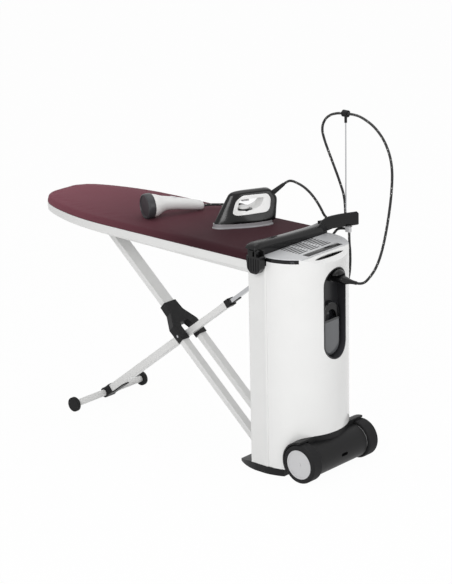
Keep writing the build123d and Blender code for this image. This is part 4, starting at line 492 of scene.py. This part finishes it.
def finishPiece(piece, body, slot, *replaced):
    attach(piece, body)
    if replaced:
        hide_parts(*replaced)


# Iron: one lofted body with a white ring let into its sides, and a dial on the ring's floor
iron = dict(place=(-360 * mm, -65 * mm, 820.3 * mm), turn=math.radians(63), noseSteps=16, sideSteps=10,
            levels=((20, 8, 237, 48, 150), (24, 10.3, 237.7, 47.8, 148), (30, 13.8, 238.7, 46.6, 142),
                    (38, 18.4, 240, 43.8, 132), (48, 24.2, 241.8, 39.6, 118), (60, 31.2, 243.8, 34.8, 102),
                    (74, 39.3, 246.2, 30.4, 86), (88, 47.4, 248.3, 27.0, 72), (98, 53.2, 247.5, 24.8, 64),
                    (108, 59, 241, 22.8, 58), (118, 65, 233, 20.6, 54), (125, 72.5, 227, 18, 50),
                    (129.4, 86, 219, 13.5, 46), (131.5, 104, 205, 7, 40)),
            ring=((70, 56), (86, 99), (112, 118), (210, 116), (221, 99), (215, 66), (202, 52), (84, 49)),
            opening=((86, 64), (101, 104), (196, 104), (181, 78), (152, 64)), rounding=11, reach=70,
            heelCorner=14, heelSteps=6, heelPinch=0.2, heelReach=70, footHeight=20, footRise=60,
            dial=(122, -7), dialRadius=21, dialTeeth=24, dialTop=68.65, well=(125, -14, 27, 20),
            dialProfile=((0.9, 62, 0), (1, 63.5, 0.02), (1, 67.5, 0.02), (0.97, 68.6, 0), (0.96, 68.7, 0),
                         (0.96, 74, 0), (0.9, 75.6, 0), (0.4, 76.4, 0)),
            wellProfile=((0.97, 60, 0), (1, 61.5, 0), (1, 65.4, 0), (0.96, 66.4, 0), (0.85, 66.4, 0)))


def ironPlace(along, across, height):
    c, s = math.cos(iron["turn"]), math.sin(iron["turn"])
    x, y, z = iron["place"]
    return (x + (along * c - across * s) * mm, y + (along * s + across * c) * mm, z + height * mm)


def ironRing(height):
    nose, heel, half, run = (eased(iron["levels"], height, column) for column in (1, 2, 3, 4))
    length = heel - nose
    corner = min(iron["heelCorner"], 0.6 * half)
    reaches = [run * (1 - math.cos(math.pi / 2 * k / iron["noseSteps"])) for k in range(iron["noseSteps"] + 1)]
    reaches += [run + (length - corner - run) * k / iron["sideSteps"] for k in range(1, iron["sideSteps"] + 1)]
    turns = iron["heelSteps"]
    reaches += [length - corner + corner * math.sin(math.pi / 2 * k / turns) for k in range(1, turns + 1)]
    low = max(0.0, 1 - (height - iron["footHeight"]) / iron["footRise"])
    power = 2 - 0.25 * low  # the nose is a little sharper near the sole
    sides = []
    for reach in reaches:
        nearNose = (1 - (1 - min(reach / run, 1)) ** power) ** (1 / power)
        nearHeel = max(0.0, (reach - length + iron["heelReach"]) / iron["heelReach"])
        toHeel = 1 - iron["heelPinch"] * low * nearHeel ** 2
        width = half * nearNose * toHeel
        over = max(0.0, reach - length + corner)
        width -= corner - math.sqrt(max(0.0, corner ** 2 - over ** 2))
        sides.append((nose + reach, width))
    outline = [(nose, 0)] + sides[1:] + [(along, -width) for along, width in reversed(sides[1:])]
    return [ironPlace(along, across, height) for along, across in outline]


def prism(name, outline, finish):
    return skinPiece(name, [[ironPlace(along, across, height) for along, height in outline]
                            for across in (-iron["reach"], iron["reach"])], finish)


def makeIron():
    levels = iron["levels"]
    heights = [low[0] + (high[0] - low[0]) * k / 3 for low, high in zip(levels, levels[1:]) for k in range(3)]
    rings = [ironRing(height) for height in heights + [levels[-1][0]]]
    body = skinPiece("ironShell", rings, glossBlack)
    ring = skinPiece("ironRing", rings, glossWhite)
    outer = prism("ringCutter", roundedLoop(iron["ring"], iron["rounding"]), glossWhite)
    opening = prism("openingCutter", roundedLoop(iron["opening"], iron["rounding"]), glossWhite)
    combine(body, outer, "DIFFERENCE")
    combine(ring, outer, "INTERSECT")
    combine(ring, opening, "DIFFERENCE")
    drop(outer, opening)
    soften(body, 1.0 * mm)
    soften(ring, 1.6 * mm)
    finishPiece(body, "iron", "gloss_black", "iron_body")
    finishPiece(ring, "iron", "white_plastic", "iron_handle_ring")


def disc(centre, radii, profile, teeth=0):
    # Rings of a turned form on the iron. Each row of the profile is a share of the radii, a height and a tooth's depth
    count = 4 * teeth if teeth else 64
    rings = []
    for share, height, bite in profile:
        ring = []
        for k in range(count):
            a = 2 * math.pi * k / count
            grip = 1 - bite * (k % 4 in (2, 3))
            ring.append(ironPlace(centre[0] + radii[0] * share * grip * math.cos(a),
                                  centre[1] + radii[1] * share * grip * math.sin(a), height))
        rings.append(ring)
    return rings


def makeDial():
    r = iron["dialRadius"]
    dial = skinPiece("ironDial", disc(iron["dial"], (r, r), iron["dialProfile"], iron["dialTeeth"]), glossBlack)
    dial.data.materials.append(glossWhite)
    split = iron["place"][2] + iron["dialTop"] * mm  # the black rim ends here and the white cap begins
    for face in dial.data.polygons:
        face.material_index = int(face.center.z > split)
    pick(dial)
    bpy.ops.object.shade_smooth_by_angle(angle=smoothAngle)
    finishPiece(dial, "iron_dial", "dark_grey", "iron_dial")
    wellX, wellY, wellLong, wellWide = iron["well"]
    well = skinPiece("dialWell", disc((wellX, wellY), (wellLong, wellWide), iron["wellProfile"]), glossBlack)
    pick(well)
    bpy.ops.object.shade_smooth_by_angle(angle=smoothAngle)
    finishPiece(well, "iron", "gloss_black")


makeIron()
makeDial()
print("iron made")

# End rail: an upright bar with a rounded, saddle-shaped crown, over the latch at its near end
rail = dict(cover=820 * mm, stations=((-212, 20.6), (-211, 25.5), (-208.5, 30.5), (-204, 34.6),
            (-197, 37.8), (-190.2, 39.3), (-189.6, 39.4), (-178, 40), (-150, 38.6), (-100, 35.2), (-40, 31.2),
            (20, 28), (80, 25.6), (120, 24.4), (150, 24.2), (179, 26)),
            ears=((-60, -52), (-32, -24)), earSides=(-211, -195), earHeights=(819, 841),
            bracket=((-58, -189.7, 784), (-1.5, -186.2, 838)), latchEnd=-189.8, latchBase=20, base=-39.6,
            section=((-70, -7), (-69, -4.4), (-64, -2.6), (-54, -0.9), (-44, -0.1), (-38, 0), (-33, -0.9),
                     (-29, -2.8), (-26, -5.8), (-24, -10), (-22.8, -16), (-22, -26)))


def railRing(y):
    crown = eased(rail["stations"], y, 1)
    base = rail["latchBase"] if y < rail["latchEnd"] else rail["base"]
    front, back = rail["section"][0][0], rail["section"][-1][0]
    outline = [(front, base), *((x, max(base + 0.2, crown + fall)) for x, fall in rail["section"]), (back, base)]
    return [(x * mm, y * mm, rail["cover"] + z * mm) for x, z in outline]


def makeRail():
    stations = [row[0] for row in rail["stations"]]
    ys = [low + (high - low) * k / 6 for low, high in zip(stations, stations[1:]) for k in range(6)]
    piece = skinPiece("saddleRail", [railRing(y) for y in ys + [stations[-1]]], glossBlack)
    soften(piece, 0.8 * mm)
    finishPiece(piece, "board", "gloss_black", "end_rail")
    bracket = boxPiece("latchBracket", rail["bracket"], glossBlack)
    soften(bracket, 1.5 * mm, 3)
    finishPiece(bracket, "board", "gloss_black")
    (y0, y1), (z0, z1) = rail["earSides"], rail["earHeights"]
    for k, (x0, x1) in enumerate(rail["ears"]):
        ear = boxPiece("railEar%d" % (k + 1), ((x0, y0, z0), (x1, y1, z1)), glossBlack)
        soften(ear, 2 * mm, 3)
        finishPiece(ear, "board", "gloss_black")


makeRail()

# Hose cradle: the solid without its elbow, a taller front plate that rises out of the rail, and a grey bracket
cradle = dict(corner=(-14, 178, 828), way=(48 / 121.85, 112 / 121.85), out=0.5, thick=5.5, edge=1.4, shoulder=1.2,
              tops=((-38, 8, -7), (-36, 19, -7), (-32, 28, -7), (-25, 36, -7), (-14, 42.5, -6), (0, 46.6, -4),
                    (16, 48.4, 0), (42, 50, 0), (80, 50, 0), (112, 49.6, 0), (118, 46, 0), (121.5, 40, 2)),
              elbow=((-12, 240, 799), (34, 264, 827.8)), bracket=((5, 245.5, 805), (27, 258.5, 828.4)))


def cradlePlace(along, inward, height):
    x, y, z = cradle["corner"]
    wx, wy = cradle["way"]
    return ((x + along * wx - inward * wy) * mm, (y + along * wy + inward * wx) * mm, (z + height) * mm)


def makeCradle():
    shell = bpy.data.objects.new("hoseCradle", nodes["hose_tray"].data.copy())
    bpy.context.scene.collection.objects.link(shell)
    pick(shell)
    bpy.ops.object.mode_set(mode="EDIT")
    bpy.ops.mesh.select_all(action="SELECT")
    bpy.ops.mesh.remove_doubles(threshold=0.01 * mm)
    bpy.ops.object.mode_set(mode="OBJECT")
    cutter = boxPiece("elbowCutter", cradle["elbow"], grainBlack)
    combine(shell, cutter, "DIFFERENCE")
    drop(cutter)
    bpy.ops.object.shade_smooth_by_angle(angle=smoothAngle)
    finishPiece(shell, "board", "black_plastic", "hose_tray")
    rings = []
    ins, out, edge = cradle["thick"], -cradle["out"], cradle["edge"]
    for along, top, low in cradle["tops"]:
        rings.append([cradlePlace(along, ins, low), cradlePlace(along, ins, top - cradle["shoulder"]),
                      cradlePlace(along, ins - edge, top), cradlePlace(along, out + edge, top),
                      cradlePlace(along, out, top - edge), cradlePlace(along, out, low)])
    plate = skinPiece("cradleFront", rings, glossBlack)
    soften(plate, 0.6 * mm)
    finishPiece(plate, "board", "gloss_black")
    bracket = boxPiece("elbowBracket", cradle["bracket"], pearlGrey)
    soften(bracket, 2.5 * mm, 3)
    finishPiece(bracket, "board", "light_grey")


makeCradle()
print("rail and cradle made")

# Deck: a silver plate with three groups of louvres, whose walls are made black as painted shade, over a black tray
# that paints the shade inside the slots, and the control strip
deck = dict(top=814, low=808, inner=-20, lip=118, depth=168, half=181, rows=7, groups=3, pitch=13.2,
            groupPitch=63, slotLong=51, slotWide=5.8, slotX=26, slotY=2, slotRound=1.5, overrun=5,
            slotShadeZone=(-18, 80, 100), strip=((86, -88), (114, 100)), stripRound=4, stripSunk=2, stripProud=0.5,
            tray=(803, 807), trayPlan=(4, -16, 107))


def ovalLoop(inset, start, stop, steps=24):
    edge = []
    for k in range(steps + 1):
        x = start + (stop - start) * k / steps
        edge.append((x, (deck["half"] - inset) * math.sqrt(1 - (x / (deck["depth"] - inset)) ** 2)))
    return edge + [(x, -y) for x, y in reversed(edge)]


def makeDeck():
    loops = ((0.4, deck["low"]), (0.2, deck["top"] - 1), (1.0, deck["top"]))
    rings = [[(x * mm, y * mm, z * mm) for x, y in ovalLoop(inset, deck["inner"], deck["lip"])]
             for inset, z in loops]
    plate = skinPiece("ventedDeck", rings, silverDeck)
    for row in range(deck["rows"]):
        for group in range(deck["groups"]):
            x = deck["slotX"] + (row - (deck["rows"] - 1) / 2) * deck["pitch"]
            y = deck["slotY"] + (group - (deck["groups"] - 1) / 2) * deck["groupPitch"]
            w, h = deck["slotWide"] / 2, deck["slotLong"] / 2
            slot = roundedLoop(((x - w, y - h), (x + w, y - h), (x + w, y + h), (x - w, y + h)),
                               deck["slotRound"], 3)
            ends = (deck["low"] - deck["overrun"], deck["top"] + deck["overrun"])
            cutter = skinPiece("slotCutter", [[(a * mm, b * mm, z * mm) for a, b in slot] for z in ends], silverDeck)
            combine(plate, cutter, "DIFFERENCE")
            drop(cutter)
    # Painted shade: the slots' walls get black plastic, so the slots read dark
    plate.data.materials.append(grainBlack)
    shadeZoneLow, shadeZoneHigh, shadeZoneSide = (edge * mm for edge in deck["slotShadeZone"])
    for face in plate.data.polygons:
        inside = abs(face.center.y) < shadeZoneSide and shadeZoneLow < face.center.x < shadeZoneHigh
        face.material_index = int(inside and abs(face.normal.z) < 0.5)  # the slots' walls are black
    pick(plate)
    bpy.ops.object.shade_smooth_by_angle(angle=math.radians(30))
    finishPiece(plate, "station", "brushed_deck", "top_deck")
    # Painted shade: a black tray under the louvres darkens what is seen through the slots
    low, high = deck["tray"]
    tray = skinPiece("louvreShadeTray", [[(x * mm, y * mm, z * mm) for x, y in ovalLoop(*deck["trayPlan"])]
                                    for z in (low, high)], grainBlack)
    finishPiece(tray, "station", "black_plastic")
    (x0, y0), (x1, y1) = deck["strip"]
    loop = roundedLoop(((x0, y0), (x1, y0), (x1, y1), (x0, y1)), deck["stripRound"])
    ends = (deck["top"] - deck["stripSunk"], deck["top"] + deck["stripProud"])
    strip = skinPiece("controlStrip", [[(x * mm, y * mm, z * mm) for x, y in loop] for z in ends], windowGloss)
    soften(strip, 0.3 * mm)
    finishPiece(strip, "station", "window", "display_window")


makeDeck()
print("deck made")

# Hand steamer: a dark round head, and a white body that runs out into its handle
steamer = dict(place=(-635 * mm, -100 * mm, 820.3 * mm), turn=math.radians(68), steps=48, headHeight=47.6,
               body=((0, 44.5, 47.5), (14, 43.4, 46.8), (28, 39.6, 46.6), (44, 32.5, 47.6), (62, 27, 49),
                     (88, 24.6, 46), (115, 23, 41), (142, 21.8, 35.6), (168, 20.4, 30), (192, 18.8, 25),
                     (206, 17, 22), (213, 14, 20.6), (216.5, 9.5, 20)),
               head=((-19.5, 12), (-19.5, 39), (-22, 40.5), (-22, 43), (-20.5, 45.8), (-17, 47.2), (-12, 47.5),
                     (2, 47.5), (5, 46.9), (6.3, 45.2), (6.3, 30)))


def steamerRing(along, radius, lift):
    c, s = math.cos(steamer["turn"]), math.sin(steamer["turn"])
    x, y, z = steamer["place"]
    ring = []
    for k in range(steamer["steps"]):
        a = 2 * math.pi * k / steamer["steps"]
        across = radius * math.cos(a)
        ring.append((x + (along * c - across * s) * mm, y + (along * s + across * c) * mm,
                     z + (lift + radius * math.sin(a)) * mm))
    return ring


def makeSteamer():
    table = steamer["body"]
    alongs = [low[0] + (high[0] - low[0]) * k / 4 for low, high in zip(table, table[1:]) for k in range(4)]
    body = skinPiece("steamerBody", [steamerRing(along, eased(table, along, 1), eased(table, along, 2))
                                     for along in alongs + [table[-1][0]]], glossWhite)
    soften(body, 0.8 * mm)
    finishPiece(body, "steamer", "white_plastic", "steamer_body")
    head = skinPiece("steamerHead", [steamerRing(along, radius, steamer["headHeight"])
                                     for along, radius in steamer["head"]], satinGrey)
    pick(head)
    bpy.ops.object.shade_smooth_by_angle(angle=smoothAngle)
    finishPiece(head, "steamer", "dark_grey", "steamer_head")


makeSteamer()
print("steamer made")

# Studio: a pale floor that stays white for the camera, soft lamps and an even sky.
# floorGlow is the share of the floor that the camera sees as plain white: so near 1 it all but hides the shadow
studio = dict(floor="#F4F4F4", floorSize=16, floorGlow=0.97, key=(1.6, -4.8, 3.2), keyPower=122, keySize=2.2,
              fill=(4.8, -0.4, 2.4), fillPower=42, fillSize=2.4, top=(-0.4, 0.6, 4.2), topPower=30, topSize=3.0,
              aim=(-0.4, 0, 0.5), sky=0.46)


def seenRays(tree):
    # One for the camera, for mirrors and for glass, zero for light that falls on the object
    path = addNode(tree, "ShaderNodeLightPath")
    direct = addNode(tree, "ShaderNodeMath", {"operation": "MAXIMUM"},
                     {0: path.outputs["Is Camera Ray"], 1: path.outputs["Is Glossy Ray"]})
    return addNode(tree, "ShaderNodeMath", {"operation": "MAXIMUM"},
                   {0: direct.outputs["Value"], 1: path.outputs["Is Transmission Ray"]})


def buildStudio():
    bpy.ops.object.select_all(action="DESELECT")
    bpy.ops.mesh.primitive_plane_add(size=studio["floorSize"])
    floor = bpy.context.object
    floor.name = "floor"
    floorPaint, tree, principled = newMaterial("pale studio floor", {
        "Base Color": hexColor(studio["floor"]), "Roughness": 0.9, "Specular IOR Level": 0.1})
    glow = addNode(tree, "ShaderNodeEmission", {"Color": (1, 1, 1, 1), "Strength": 1.0})
    share = addNode(tree, "ShaderNodeMath", {"operation": "MULTIPLY", 1: studio["floorGlow"]},
                    {0: seenRays(tree).outputs["Value"]})
    mix = addNode(tree, "ShaderNodeMixShader", None,
                  {0: share.outputs["Value"], 1: principled.outputs["BSDF"], 2: glow.outputs["Emission"]})
    tree.links.new(mix.outputs["Shader"], tree.nodes["Material Output"].inputs["Surface"])
    floor.data.materials.append(floorPaint)
    world = bpy.data.worlds.new("studioSky")
    bpy.context.scene.world = world
    world.use_nodes = True
    background = world.node_tree.nodes["Background"]
    background.inputs["Color"].default_value = (1, 1, 1, 1)
    level = addNode(world.node_tree, "ShaderNodeMapRange", {"To Min": studio["sky"], "To Max": 1.0},
                    {"Value": seenRays(world.node_tree).outputs["Value"]})
    world.node_tree.links.new(level.outputs["Result"], background.inputs["Strength"])
    for name in ("key", "fill", "top"):
        data = bpy.data.lights.new(name, "AREA")
        data.energy = studio[name + "Power"]
        data.size = studio[name + "Size"]
        lamp = bpy.data.objects.new(name, data)
        bpy.context.scene.collection.objects.link(lamp)
        lamp.location = studio[name]
        aim = Vector(studio["aim"]) - lamp.location
        lamp.rotation_euler = aim.to_track_quat("-Z", "Y").to_euler()


buildStudio()
bpy.context.scene.view_settings.view_transform = "Standard"
print("studio ready")
